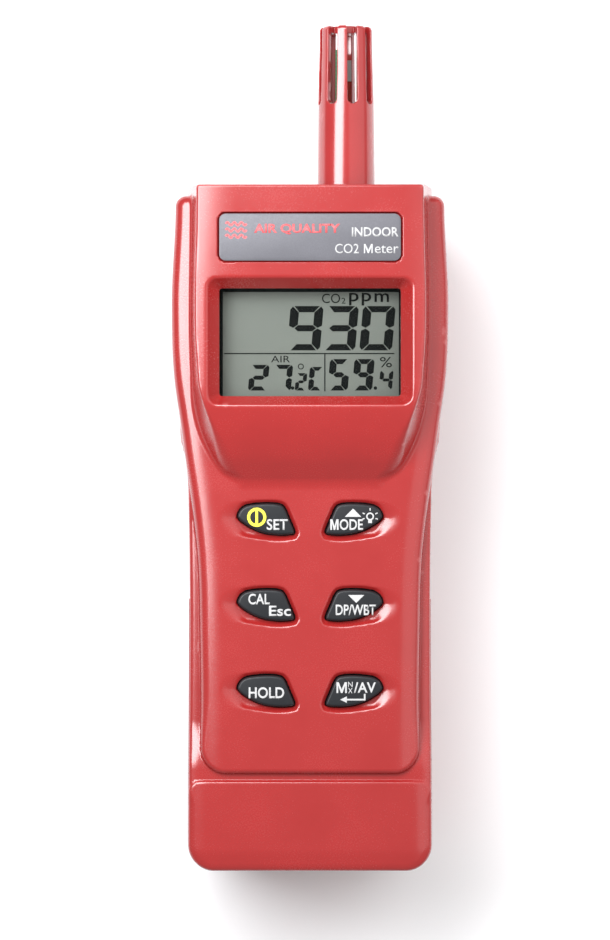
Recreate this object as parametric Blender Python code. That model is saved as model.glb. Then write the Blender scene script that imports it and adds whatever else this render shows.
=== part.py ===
"""Handheld carbon dioxide monitor, lying on its back.

Frame: +X across the face, +Y towards the probe, +Z out of the face. The origin is in the resting plane,
under the middle of the body. Every size below is in millimetres; MM turns it into metres.
"""

import math

import bpy
import bmesh
from mathutils import Matrix, Vector

MM = 0.001
GAP = 0.3  # between pieces that touch
WALL = 2.2  # shell wall

# Heights of the main surfaces above the resting plane
HEAD_Z = 56.0  # flat face around the display
KEYPAD_Z = 46.8  # raised tongue that holds the keys
FOOT_Z = 45.6  # raised lip across the bottom
STRIP_Z = 42.5  # lower shoulder beside the tongue
PARTING_Z = 36.0  # seam between the front and rear shells

# Length
BOTTOM_Y = -102.5
TIP_Y = 102.5
FOOT_TOP_Y = -80.4
TONGUE_END_Y = -78.8
RAIL_TOP_Y = 61.0
HEAD_TOP_Y = 63.6

# Outlines as (Y, half width), read as smooth curves
WAIST_SIDE = [(5, 31.2), (17, 32.9), (34, 33.55), (59, 32.6)]
UPPER_SIDE = [(-68, 26.4), (-46, 26.6), (-26, 27.2), (-11, 28.9)] + WAIST_SIDE
LOWER_SIDE = [(-96, 29.45), (-12, 29.45), (-2, 29.9)] + WAIST_SIDE
HEAD_BASE_SIDE = [(-9, 18.6), (-5.4, 21.9), (1.8, 25.9), (9, 27.8), (19, 28.4), (60, 28.4)]
HEAD_FACE_SIDE = [(-4, 17.0), (2, 20.8), (9, 24.6), (14, 26.4), (20, 27.05), (60, 27.1)]

# Display, in the head
DISPLAY_Y = 25.3
RECESS = (49.9, 31.0)  # mouth of the sloping recess, X and Y
OPENING = (43.6, 25.9)  # clear opening for the window
OPENING_Z = 52.0
FLANGE_Z = 50.6  # underside of the flange that the window sits against
WINDOW = (48.0, 30.0, 1.4)
LCD_CELL = (47.6, 29.6, 2.6)
LIGHT_GUIDE = (47.6, 23.6, 2.7)

# Nameplate, in the head
PLATE_Y = 50.35
PLATE = (44.1, 11.9)
PLATE_RECESS = 0.9

# Keys: points round the leaf-shaped hole of a left key, and round the dish it sits in
KEY_X = 10.8
KEY_ROWS = (-17.4, -38.15, -58.9)
KEY_TOP_Z = 48.0
KEY_BASE_Z = 43.3
KEY_FLANGE_TOP_Z = 44.2
KEY_HOLE = [(-6.9, 1.2), (-6.1, 2.7), (-4.5, 3.7), (-1.7, 4.1), (1.1, 4.2), (3.6, 3.9), (4.8, 3.0)]
KEY_HOLE += [(6.0, 0.3), (7.2, -2.6), (7.0, -3.5), (6.0, -3.8), (3.2, -3.9), (-0.1, -3.5), (-2.9, -2.5)]
KEY_HOLE += [(-5.3, -1.1), (-6.7, 0.2)]
DISH = [(-10.6, 0.6), (-9.7, 2.3), (-7.6, 3.6), (-4.5, 4.4), (-1.7, 4.75), (1.1, 4.8), (3.9, 4.5)]
DISH += [(5.4, 3.4), (6.7, 0.6), (7.9, -2.4), (8.0, -4.2), (6.8, -5.1), (2.4, -5.5), (-3.3, -4.8)]
DISH += [(-7.3, -3.7), (-9.8, -1.6)]
KEY_GAP = 0.35
DISH_DEPTH = 0.9
PILL_RADIUS = 1.8
PILL_Z = (42.7, 43.0)

# Electronics
BOARD_Z = 40.0
BOARD_THICK = 1.6
BOARD_X = 23.6
BOARD_SHANK = 1.1
BOARD_SCREWS = [(-21.0, -6.0), (21.0, -6.0), (-17.0, -70.5), (17.0, -70.5)]
SENSOR_BOARD_Z = 24.0
SENSOR_POSTS = [(-18.5, 8.0), (18.5, 8.0), (-18.5, 36.5), (18.5, 36.5)]
MAT_THICK = 1.0

# Probe
PROBE_X = 8.8
PROBE_Z = 38.0
STEM_RADIUS = 7.0
STEM_BORE = 5.1
STEM_LOW_Y = 50.0
COLLAR_RADIUS = 8.6
COLLAR_Y = (56.0, 58.4)
CAGE_RADIUS = 6.8
CAGE_SLOTS = 8
SLOT_WIDTH = 2.5
SLOT_START_Y = 83.4
SLOT_TURN = 13.5  # degrees from straight up to the first slot's middle

# Battery compartment
DOOR_TOP_Y = -36.4
DOOR_PROUD = 0.35
DOOR_WALL = 2.0
THUMB_Y = -47.0
CELL_LENGTH = 50.0
CELL_PITCH = 14.8
CELL_LOW_Z = 9.6
CELL_MID_Y = -67.5
TRAY_X = 16.9
TRAY_WALL = 1.6
TRAY_LOW_Z = 9.0
TRAY_PLATE_Z = (32.2, 33.6)
TRAY_Y = (-98.0, -34.6)
TRAY_INSIDE_Y = (-96.4, -38.4)
RAIL_X = 27.0

# Case screws, (X, Y)
HEAD_SCREWS = [(-18.5, 44.5), (18.5, 44.5)]
HEAD_BOSS_Z = 26.0
FOOT_SCREWS = [(-22.0, -88.0), (22.0, -88.0)]
SCREW_SHANK = 1.3
SCREW_HEAD = 2.7
BOSS_RADIUS = 3.2

# Shallow pocket in the right side that holds two sockets
SOCKET_Y = (-28.5, -9.0)
SOCKET_Z = (14.5, 26.5)
SOCKET_FLOOR_X = 26.8
SOCKET_MID_Z = (SOCKET_Z[0] + SOCKET_Z[1]) / 2
POWER_JACK_Y = -14.2
POWER_JACK_RADIUS = 4.0
DATA_JACK_Y = -24.2
DATA_JACK_RADIUS = 3.2

# Rear shell: (Z, side inset, end inset) of its outline, from the seam down to the flat back
HULL_STATIONS = [(PARTING_Z, 0, 0), (24, 0.5, 0.3), (12, 2.0, 0.9), (5, 4.6, 2.0)]
HULL_STATIONS += [(1.6, 7.6, 3.4), (0, 10.6, 5.6)]
VENT_ROWS = (12.0, 16.0, 20.0, 24.0, 28.0)
LABEL_Y = -18.0


# ---------------------------------------------------------------- helpers


def clear_scene():
    for thing in list(bpy.data.objects):
        bpy.data.objects.remove(thing)


def make_material(name, colour, roughness, metallic=0.0):
    material = bpy.data.materials.new(name)
    material.use_nodes = True
    shader = material.node_tree.nodes["Principled BSDF"]
    shader.inputs["Base Color"].default_value = (*colour, 1.0)
    shader.inputs["Roughness"].default_value = roughness
    shader.inputs["Metallic"].default_value = metallic
    return material


def make_materials():
    return {
        "red": make_material("red_plastic", (0.62, 0.03, 0.035), 0.45),
        "black_rubber": make_material("black_rubber", (0.02, 0.02, 0.022), 0.6),
        "dark_rubber": make_material("dark_rubber", (0.05, 0.05, 0.055), 0.8),
        "carbon": make_material("carbon", (0.01, 0.01, 0.01), 0.5),
        "plate": make_material("plate", (0.32, 0.32, 0.35), 0.4, 0.6),
        "clear": make_material("clear", (0.8, 0.85, 0.82), 0.05),
        "lcd": make_material("lcd", (0.42, 0.45, 0.42), 0.3),
        "white": make_material("white_plastic", (0.8, 0.8, 0.78), 0.5),
        "board": make_material("board_green", (0.03, 0.2, 0.08), 0.5),
        "chip": make_material("chip", (0.03, 0.03, 0.03), 0.5),
        "steel": make_material("steel", (0.6, 0.6, 0.6), 0.35, 1.0),
        "brass": make_material("gold_plated", (0.8, 0.6, 0.25), 0.35, 1.0),
        "cell": make_material("cell_jacket", (0.2, 0.22, 0.25), 0.35),
    }


def add_object(name, bm, material=None):
    """Makes an object from a bmesh in millimetres, shaded smooth where faces nearly agree."""
    bmesh.ops.recalc_face_normals(bm, faces=bm.faces)
    bmesh.ops.scale(bm, vec=(MM, MM, MM), verts=bm.verts)
    mesh = bpy.data.meshes.new(name)
    bm.to_mesh(mesh)
    bm.free()
    mesh.shade_smooth()
    mesh.set_sharp_from_angle(angle=math.radians(35))
    if material:
        mesh.materials.append(material)
    made = bpy.data.objects.new(name, mesh)
    bpy.context.scene.collection.objects.link(made)
    return made


def combine(target, tool, operation):
    """Joins, cuts or intersects target with tool, which is used up."""
    modifier = target.modifiers.new(operation, "BOOLEAN")
    modifier.operation = operation
    modifier.object = tool
    bpy.context.view_layer.update()
    graph = bpy.context.evaluated_depsgraph_get()
    mesh = bpy.data.meshes.new_from_object(target.evaluated_get(graph))
    target.modifiers.clear()
    bm = bmesh.new()
    bm.from_mesh(mesh)
    bmesh.ops.remove_doubles(bm, verts=bm.verts, dist=0.002 * MM)
    bmesh.ops.holes_fill(bm, edges=[edge for edge in bm.edges if edge.is_boundary], sides=4)
    bm.to_mesh(mesh)
    bm.free()
    target.data = mesh
    bpy.data.objects.remove(tool)
    return target


def cut(target, *tools):
    for tool in tools:
        combine(target, tool, "DIFFERENCE")
    return target


def join(target, *tools):
    for tool in tools:
        combine(target, tool, "UNION")
    return target


def loft(name, rings, material=None):
    """Closed solid through rings of equally many points, each ring a list of (x, y, z)."""
    bm = bmesh.new()
    loops = [[bm.verts.new(point) for point in ring] for ring in rings]
    for low, high in zip(loops, loops[1:]):
        for i in range(len(low)):
            j = (i + 1) % len(low)
            bm.faces.new((low[i], low[j], high[j], high[i]))
    bm.faces.new(reversed(loops[0]))
    bm.faces.new(loops[-1])
    return add_object(name, bm, material)


def lift(outline, z):
    return [(x, y, z) for x, y in outline]


def prism(name, outline, low, high, material=None):
    return loft(name, [lift(outline, low), lift(outline, high)], material)


def block(name, x, y, z, material=None):
    """Box from its ranges along X, Y and Z."""
    outline = [(x[0], y[0]), (x[1], y[0]), (x[1], y[1]), (x[0], y[1])]
    return prism(name, outline, z[0], z[1], material)


def circle(radius, count):
    turn = 2 * math.pi / count
    return [(radius * math.cos(turn * i), radius * math.sin(turn * i)) for i in range(count)]


def turned(name, profile, matrix, material=None, count=20):
    """Solid of revolution from (distance along the axis, radius) stations; matrix places its +Z axis."""
    rings = []
    for along, radius in profile:
        rings.append([tuple(matrix @ Vector((x, y, along))) for x, y in circle(radius, count)])
    return loft(name, rings, material)


def upright(x, y):
    return Matrix.Translation((x, y, 0))


def along_y(x, z):
    """Places a turned piece's axis along +Y."""
    return Matrix.Translation((x, 0, z)) @ Matrix.Rotation(-math.pi / 2, 4, "X")


def post(name, x, y, radius, low, high, count=16, material=None):
    return turned(name, [(low, radius), (high, radius)], upright(x, y), material, count)


def smooth_value(knots, y):
    """Value at y of the smooth curve through the knots, held flat outside them."""
    if y <= knots[0][0]:
        return knots[0][1]
    if y >= knots[-1][0]:
        return knots[-1][1]
    k = max(i for i in range(len(knots) - 1) if knots[i][0] <= y)

    def slope(i):
        a, b = knots[max(i - 1, 0)], knots[min(i + 1, len(knots) - 1)]
        return (b[1] - a[1]) / (b[0] - a[0])

    (y0, v0), (y1, v1) = knots[k], knots[k + 1]
    h = y1 - y0
    t = (y - y0) / h
    rise = v0 * (1 + 2 * t) * (1 - t) ** 2 + v1 * t * t * (3 - 2 * t)
    return rise + h * t * (1 - t) * (slope(k) * (1 - t) - slope(k + 1) * t)


def outline(side, low_y, high_y, low_corner, high_corner, inset=0.0, end_inset=0.0, samples=11, arc=3):
    """Closed mirrored outline, counterclockwise. A corner is (X radius, Y radius); the insets shrink it."""
    low_y, high_y = low_y + end_inset, high_y - end_inset
    right = [(0.0, low_y)]
    for end, corner, sign in ((low_y, low_corner, 1), (high_y, high_corner, -1)):
        rx, ry = corner
        centre_y = end + sign * ry
        width = smooth_value(side, centre_y) - inset
        turns = [i / arc * math.pi / 2 for i in range(arc + 1)]
        turns = turns if sign == 1 else turns[::-1]
        points = [(width - rx + rx * math.sin(a), centre_y - sign * ry * math.cos(a)) for a in turns]
        if sign == -1:
            start = low_y + low_corner[1]
            for i in range(1, samples):
                y = start + (centre_y - start) * i / samples
                right.append((smooth_value(side, y) - inset, y))
        right += points
    right.append((0.0, high_y))
    left = [(-x, y) for x, y in reversed(right[1:-1])]
    return right + left


def offset(loop, mirror=1, grow=0.0):
    """Closed outline through the points of loop, moved outwards by grow. mirror=-1 flips X."""
    grown = []
    for i, point in enumerate(loop):
        before, here, after = Vector(loop[i - 1]), Vector(point), Vector(loop[(i + 1) % len(loop)])
        tangent = (here - before).normalized() + (after - here).normalized()
        grown.append(here + Vector((-tangent.y, tangent.x)).normalized() * grow)
    shape = [(p.x * mirror, p.y) for p in grown]
    return shape if mirror == -1 else shape[::-1]


def rectangle(width, height, y, radius=1.0, x=0.0, arc=3):
    """Outline of a rectangle with round corners, centred on (x, y)."""
    corners = []
    for sx, sy, first in ((1, -1, -90), (1, 1, 0), (-1, 1, 90), (-1, -1, 180)):
        for i in range(arc + 1):
            a = math.radians(first + 90 * i / arc)
            cx, cy = x + sx * (width / 2 - radius), y + sy * (height / 2 - radius)
            corners.append((cx + radius * math.cos(a), cy + radius * math.sin(a)))
    return corners


# ---------------------------------------------------------------- shell forms


def upper_body(name, inset, low, top, round_top):
    """The waisted body that carries the rails and the tongue, cut off flat at top."""

    def ring(extra, z):
        shrink = inset + extra
        return lift(outline(UPPER_SIDE, TONGUE_END_Y, RAIL_TOP_Y, (6, 8), (2.6, 2.6), shrink, shrink), z)

    rings = [ring(0, low), ring(0, top - 3.2)]
    if round_top:
        rings += [ring(0.9, top - 1.1), ring(2.0, top - 0.25), ring(3.2, top)]
    else:
        rings.append(ring(0, top))
    return loft(name, rings)


def lower_body(name, inset, low, top, high_y, corner, round_top):
    """The wider body below the waist, up to high_y, where its corners have the radius corner."""

    def ring(extra, z):
        shrink = inset + extra
        shape = outline(LOWER_SIDE, BOTTOM_Y + inset, high_y, (6.3, 6.3), (corner, corner), shrink, extra)
        return lift(shape, z)

    rings = [ring(0, low), ring(0.1, top - 1.0)]
    if round_top:
        rings += [ring(0.35, top - 0.3), ring(1.0, top)]
    return loft(name, rings)


def head_block(name, inset, low, top, round_top):
    """The raised head: steep sides, and a long slope down to the keys."""
    edge = 0.7 if round_top else 0.0
    foot = outline(HEAD_BASE_SIDE, -9.3 + inset, HEAD_TOP_Y - inset, (5.6, 5.0), (0.8, 0.8), inset)
    face = outline(HEAD_FACE_SIDE, 4.8 + inset, HEAD_TOP_Y - 0.6 - inset, (4.0, 3.4), (0.8, 0.8), inset)
    rings = [lift(foot, low), lift(foot, KEYPAD_Z - 0.4 - inset), lift(face, top - edge)]
    if round_top:
        shut = outline(HEAD_FACE_SIDE, 5.8, HEAD_TOP_Y - 1.4, (4.0, 3.4), (0.8, 0.8), edge)
        rings.append(lift(shut, top))
    return loft(name, rings)


def hull(name, inset, top, proud=0.0):
    """The rear half as a solid: widest at the parting line, narrowing to the flat back."""
    rings = []
    for z, side, end in HULL_STATIONS:
        shape = outline(
            LOWER_SIDE,
            BOTTOM_Y + inset + end,
            RAIL_TOP_Y - inset - 1.6 * end,
            (6.3, 6.3),
            (2.6, 2.6),
            side + inset - proud,
        )
        height = top if z == PARTING_Z else z + inset * (1 - z / PARTING_Z)
        rings.append(lift(shape, height))
    return loft(name, rings[::-1])


def head_back(name, inset, top):
    """The part of the head that stands out past the rails, on the rear shell."""
    rings = []
    for z, half, high_y in ((12 + inset, 25.5, 56.0), (22, 28.2, HEAD_TOP_Y), (top, 28.2, HEAD_TOP_Y)):
        rings.append(lift(rectangle(2 * (half - inset), high_y - inset - 40, (high_y - inset + 40) / 2), z))
    return loft(name, rings)


# ---------------------------------------------------------------- shells


def placed(shape, x, y):
    return [(px + x, py + y) for px, py in shape]


def key_places():
    """(name, X, Y, mirror) for each key; the right column mirrors the left."""
    names = [("power", "mode"), ("cal", "down"), ("hold", "enter")]
    places = []
    for y, (left, right) in zip(KEY_ROWS, names):
        places.append((left, -KEY_X, y, 1))
        places.append((right, KEY_X, y, -1))
    return places


def display_recess():
    mouth = rectangle(*RECESS, DISPLAY_Y, 2.2)
    foot = rectangle(*OPENING, DISPLAY_Y, 0.6)
    slope = 1.6 / (HEAD_Z - OPENING_Z)
    above = rectangle(RECESS[0] + 2 * slope, RECESS[1] + 2 * slope, DISPLAY_Y, 2.4)
    return loft("recess", [lift(foot, OPENING_Z), lift(mouth, HEAD_Z), lift(above, HEAD_Z + 1)])


def make_front_shell(materials):
    shell = upper_body("front_shell", 0, PARTING_Z, KEYPAD_Z, True)
    join(shell, lower_body("lower", 0, PARTING_Z, STRIP_Z, 8, 1.2, True))
    join(shell, lower_body("foot", 0, PARTING_Z + 3, FOOT_Z, FOOT_TOP_Y, 2.8, True))
    join(shell, head_block("head", 0, PARTING_Z, HEAD_Z, True))
    below = PARTING_Z - 5
    cut(shell, upper_body("cavity", WALL, below, KEYPAD_Z - WALL, False))
    cut(shell, lower_body("cavity", WALL, below, STRIP_Z - WALL, 8, 1.2, False))
    cut(shell, lower_body("cavity", WALL, below, FOOT_Z - WALL, FOOT_TOP_Y - WALL, 1.2, False))
    cut(shell, head_block("cavity", WALL, below, HEAD_Z - WALL, False))
    collar = prism("collar", rectangle(52.6, 34.4, DISPLAY_Y), 42.2, HEAD_Z + 1)
    join(shell, combine(collar, head_block("limit", 1.1, PARTING_Z, HEAD_Z - 1.1, False), "INTERSECT"))
    cut(shell, prism("pocket", rectangle(48.8, 30.8, DISPLAY_Y, 0.6), 40, FLANGE_Z))
    cut(shell, display_recess(), prism("opening", rectangle(*OPENING, DISPLAY_Y, 0.6), 48, OPENING_Z + 1))
    cut(shell, prism("plate_recess", rectangle(*PLATE, PLATE_Y, 1.6), HEAD_Z - PLATE_RECESS, HEAD_Z + 1))
    for _, x, y, mirror in key_places():
        dish = placed(offset(DISH, mirror), x, y)
        hole = placed(offset(KEY_HOLE, mirror), x, y)
        cut(shell, prism("dish", dish, KEYPAD_Z - DISH_DEPTH, KEYPAD_Z + 1))
        cut(shell, prism("hole", hole, 40, KEYPAD_Z))
    for x, y in HEAD_SCREWS:
        join(shell, post("boss", x, y, BOSS_RADIUS, HEAD_BOSS_Z + GAP, HEAD_Z - 1.5))
        cut(shell, post("pilot", x, y, SCREW_SHANK + GAP, HEAD_BOSS_Z - 1, HEAD_BOSS_Z + 10, 10))
    for x, y in FOOT_SCREWS:
        join(shell, post("boss", x, y, BOSS_RADIUS, TRAY_PLATE_Z[1] + GAP, FOOT_Z - 1))
        cut(shell, post("pilot", x, y, SCREW_SHANK + GAP, TRAY_PLATE_Z[1] - 1, FOOT_Z - 3, 10))
    for x, y in BOARD_SCREWS:
        join(shell, post("boss", x, y, 2.6, BOARD_Z + BOARD_THICK + GAP, KEYPAD_Z - 1, 12))
        cut(shell, post("pilot", x, y, BOARD_SHANK + GAP, BOARD_Z, KEYPAD_Z - WALL - 0.3, 8))
    cut(shell, probe_hole())
    shell.data.materials.append(materials["red"])
    return shell


def probe_hole():
    hole = [(COLLAR_Y[1] + 0.6, STEM_RADIUS + GAP), (HEAD_TOP_Y + 5, STEM_RADIUS + GAP)]
    return turned("probe_hole", hole, along_y(PROBE_X, PROBE_Z), None, 28)


def make_rear_shell(materials):
    shell = hull("rear_shell", 0, PARTING_Z - GAP)
    join(shell, head_back("head_back", 0, PARTING_Z - GAP))
    cut(shell, hull("cavity", WALL, PARTING_Z + 2), head_back("cavity", WALL, PARTING_Z + 2))
    cut(shell, block("door_space", (-40, 40), (-110, DOOR_TOP_Y), (-5, 40)))
    bulkhead = hull("bulkhead", 0.4, TRAY_PLATE_Z[1])
    combine(bulkhead, block("slice", (-40, 40), (DOOR_TOP_Y, TRAY_Y[1]), (-5, 40)), "INTERSECT")
    join(shell, bulkhead)
    tray_y = (TRAY_Y[0], DOOR_TOP_Y + 0.5)
    plate_y = (TRAY_Y[0] + 4.5, DOOR_TOP_Y + 0.6)
    tray = block("tray", (-TRAY_X, TRAY_X), tray_y, (TRAY_LOW_Z, TRAY_PLATE_Z[1] - 0.4))
    join(tray, block("plate", (-RAIL_X, RAIL_X), plate_y, TRAY_PLATE_Z))
    inside = TRAY_X - TRAY_WALL
    cut(tray, block("bay", (-inside, inside), TRAY_INSIDE_Y, (0, TRAY_PLATE_Z[0])))
    for x, y in FOOT_SCREWS:
        cut(tray, post("hole", x, y, SCREW_SHANK + GAP, 30, 36, 10))
    join(shell, tray)
    for x, y in HEAD_SCREWS:
        join(shell, post("boss", x, y, 4.4, 1.0, HEAD_BOSS_Z))
        cut(shell, post("counterbore", x, y, SCREW_HEAD + 0.4, -1, HEAD_BOSS_Z - 2))
        cut(shell, post("hole", x, y, SCREW_SHANK + GAP, HEAD_BOSS_Z - 3, HEAD_BOSS_Z + 1, 10))
    for x, y in SENSOR_POSTS:
        join(shell, post("post", x, y, 2.0, 1.0, SENSOR_BOARD_Z - GAP, 10))
    for y in VENT_ROWS:
        cut(shell, prism("vent", rectangle(26, 1.8, y, 0.85, 0, 2), -1, 4))
    cut(shell, prism("label_recess", rectangle(31, 17, LABEL_Y, 1), -1, 0.7))
    join(shell, block("socket_box", (SOCKET_FLOOR_X - 2, 26.6), grown(SOCKET_Y, 1.8), grown(SOCKET_Z, 1.6)))
    cut(shell, block("socket_pocket", (SOCKET_FLOOR_X, 35), SOCKET_Y, SOCKET_Z))
    for y, radius in ((POWER_JACK_Y, POWER_JACK_RADIUS), (DATA_JACK_Y, DATA_JACK_RADIUS)):
        hole = [(22, radius + GAP), (28, radius + GAP)]
        cut(shell, turned("jack_hole", hole, along_x(y, SOCKET_MID_Z), None, 16))
    cut(shell, probe_hole())
    shell.data.materials.append(materials["red"])
    return shell


def grown(span, extra):
    return (span[0] - extra, span[1] + extra)


def along_x(y, z):
    """Places a turned piece's axis along +X."""
    return Matrix.Translation((0, y, z)) @ Matrix.Rotation(math.pi / 2, 4, "Y")


def make_battery_door(materials):
    door = hull("battery_door", 0, PARTING_Z - GAP, DOOR_PROUD)
    cut(door, hull("cavity", DOOR_WALL, PARTING_Z + 2, DOOR_PROUD))
    cut(door, block("rest", (-40, 40), (DOOR_TOP_Y - GAP, 80), (-5, 40)))
    for side in (-1, 1):
        x = sorted((side * (RAIL_X - 1.2), side * (RAIL_X + 1.4)))
        lip = block("lip", x, (-93, DOOR_TOP_Y - GAP - 0.5), (TRAY_PLATE_Z[1] + GAP, PARTING_Z - GAP - 0.2))
        join(door, lip)
    cut(door, prism("thumb_dish", rectangle(17, 9.4, THUMB_Y, 2), -1, 1.0))
    for i in range(4):
        y = THUMB_Y - 3 + 2 * i
        join(door, block("ridge", (-6.5, 6.5), (y - 0.35, y + 0.35), (0.3, 1.3)))
    door.data.materials.append(materials["red"])
    middle = Vector((0, DOOR_TOP_Y * MM, PARTING_Z / 2 * MM))
    door.data.transform(Matrix.Translation(-middle))
    door.location = middle
    return door


# ---------------------------------------------------------------- face pieces


def make_keys(materials):
    """Six keys, each with the carbon pill that it presses onto the board."""
    for name, x, y, mirror in key_places():
        rings = []
        for grow, z in (
            (KEY_GAP, KEY_BASE_Z),
            (KEY_GAP, KEY_FLANGE_TOP_Z),
            (-KEY_GAP, KEY_FLANGE_TOP_Z),
            (-KEY_GAP, KEY_TOP_Z - 0.5),
            (-KEY_GAP - 0.45, KEY_TOP_Z),
        ):
            rings.append(lift(offset(KEY_HOLE, mirror, grow), z))
        key = loft("key_" + name, rings, materials["black_rubber"])
        key.location = (x * MM, y * MM, 0)
        pill = post("contact_" + name, 0, 0, PILL_RADIUS, *PILL_Z, 12, materials["carbon"])
        pill.parent = key


def make_keypad_mat(materials):
    low = BOARD_Z + BOARD_THICK + GAP
    mat = prism("keypad_mat", rectangle(43, 58.0, -38.4, 2), low, low + MAT_THICK, materials["dark_rubber"])
    for _, x, y, mirror in key_places():
        cut(mat, prism("hole", placed(offset(KEY_HOLE, mirror, 0.8), x, y), low - 1, low + 3))


def make_display(materials):
    top = FLANGE_Z - GAP
    for name, size, material in (
        ("display_window", WINDOW, "clear"),
        ("lcd_panel", LCD_CELL, "lcd"),
        ("light_guide", LIGHT_GUIDE, "white"),
    ):
        shape = rectangle(size[0], size[1], DISPLAY_Y, 0.5, 0, 2)
        prism(name, shape, top - size[2], top, materials[material])
        top -= size[2] + GAP
    guide_top = FLANGE_Z - WINDOW[2] - LCD_CELL[2] - 3 * GAP
    for name, side in (("upper_contact_strip", 1), ("lower_contact_strip", -1)):
        y = DISPLAY_Y + side * (LIGHT_GUIDE[1] / 2 + 1.5)
        span = (BOARD_Z + BOARD_THICK + GAP, guide_top)
        block(name, (-21, 21), (y - 1.1, y + 1.1), span, materials["dark_rubber"])


def make_plates(materials):
    low = HEAD_Z - PLATE_RECESS + GAP
    shape = rectangle(PLATE[0] - 2 * GAP, PLATE[1] - 2 * GAP, PLATE_Y, 1.4)
    prism("nameplate", shape, low, low + 0.4, materials["plate"])
    prism("rear_label", rectangle(30.4, 16.4, LABEL_Y, 0.8), 0.2, 0.4, materials["plate"])


# ---------------------------------------------------------------- electronics


def make_main_board(materials):
    corners = [(-16, -74.5), (16, -74.5), (BOARD_X, -66), (BOARD_X, 40.5), (14.5, 40.5), (14.5, 48.5)]
    corners += [(-14.5, 48.5), (-14.5, 40.5), (-BOARD_X, 40.5), (-BOARD_X, -66)]
    board = prism("main_board", corners, BOARD_Z, BOARD_Z + BOARD_THICK, materials["board"])
    for x, y in BOARD_SCREWS:
        cut(board, post("hole", x, y, BOARD_SHANK + GAP, BOARD_Z - 1, BOARD_Z + 4, 10))
    below = BOARD_Z - GAP
    block("processor", (-6, 6), (-36, -24), (below - 1.5, below), materials["chip"])
    post("buzzer", -13, -4, 5.5, below - 4, below, 18, materials["chip"])


def make_carbon_dioxide_sensor(materials):
    top = SENSOR_BOARD_Z
    prism("sensor_board", rectangle(42, 34, 22.4, 1, 0, 1), top, top + BOARD_THICK, materials["board"])
    below = top - GAP
    block("sensor_chamber", (-15.5, 14.5), (9, 33), (below - 11, below), materials["brass"])
    post("sensor_membrane", -2, 22, 6.5, below - 11.8, below - 11 - GAP, 18, materials["white"])
    low, high = top + BOARD_THICK + GAP, BOARD_Z - GAP
    block("board_connector", (-10, 10), (34, 38), (low, high), materials["chip"])


def make_probe(materials):
    place = along_y(PROBE_X, PROBE_Z)
    profile = [
        (STEM_LOW_Y, STEM_RADIUS),
        (COLLAR_Y[0], STEM_RADIUS),
        (COLLAR_Y[0], COLLAR_RADIUS),
        (COLLAR_Y[1], COLLAR_RADIUS),
        (COLLAR_Y[1], STEM_RADIUS),
        (SLOT_START_Y, CAGE_RADIUS),
        (TIP_Y - 1.9, CAGE_RADIUS - 0.25),
        (TIP_Y - 0.6, CAGE_RADIUS - 0.7),
        (TIP_Y - 0.1, CAGE_RADIUS - 1.5),
        (TIP_Y, CAGE_RADIUS - 2.3),
    ]
    housing = turned("probe_housing", profile, place, materials["red"], 28)
    bore = [(STEM_LOW_Y - 1, STEM_BORE), (SLOT_START_Y, STEM_BORE), (TIP_Y - 1.8, STEM_BORE - 0.3)]
    cut(housing, turned("bore", bore, place, None, 24))
    slot_end = TIP_Y + 6
    for i in range(CAGE_SLOTS):
        shape = rectangle(SLOT_WIDTH, slot_end - SLOT_START_Y, (slot_end + SLOT_START_Y) / 2, 1.2, 0, 2)
        cutter = prism("slot", shape, 3.4, 9)
        turn = Matrix.Rotation(math.radians(SLOT_TURN) + i * 2 * math.pi / CAGE_SLOTS, 4, "Y")
        cutter.data.transform(Matrix.Translation((PROBE_X * MM, 0, PROBE_Z * MM)) @ turn)
        cut(housing, cutter)
    board = (PROBE_Z - 0.4, PROBE_Z + 0.4)
    block("probe_board", (PROBE_X - 2.6, PROBE_X + 0.1), (46, 97), board, materials["board"])
    chip = (board[1] + GAP, board[1] + GAP + 1.6)
    block("humidity_sensor", (PROBE_X - 0.9, PROBE_X + 1.3), (89.2, 94.2), chip, materials["white"])
    bead = [(85.2, 0.4), (85.6, 0.9), (86.8, 0.9), (87.2, 0.4)]
    turned("temperature_sensor", bead, along_y(PROBE_X - 1.0, board[1] + GAP + 0.9), materials["chip"], 10)


def make_sockets(materials):
    face = SOCKET_FLOOR_X - GAP
    for name, y, radius, bore, depth in (
        ("power_socket", POWER_JACK_Y, POWER_JACK_RADIUS, 1.9, 9),
        ("data_socket", DATA_JACK_Y, DATA_JACK_RADIUS, 1.3, 8),
    ):
        place = along_x(y, SOCKET_MID_Z)
        socket = turned(name, [(face - depth - 3, radius), (face, radius)], place, materials["chip"], 16)
        cut(socket, turned("bore", [(face - depth, bore), (face + 1, bore)], place, None, 14))


# ---------------------------------------------------------------- batteries


def coil(name, x, z, start, length, radii, turns, wire, material):
    """Conical spring along Y from start, its coil radius running between the two radii."""
    steps, sides = 9 * turns, 4
    rings = []
    for i in range(steps + 1):
        t = i / steps
        angle = 2 * math.pi * turns * t
        radius = radii[0] + (radii[1] - radii[0]) * t
        centre = Vector((x + radius * math.cos(angle), start + length * t, z + radius * math.sin(angle)))
        out = Vector((math.cos(angle), 0, math.sin(angle)))
        ring = []
        for k in range(sides):
            a = 2 * math.pi * k / sides
            ring.append(tuple(centre + out * wire * math.cos(a) + Vector((0, 1, 0)) * wire * math.sin(a)))
        rings.append(ring)
    return loft(name, rings, material)


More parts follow.
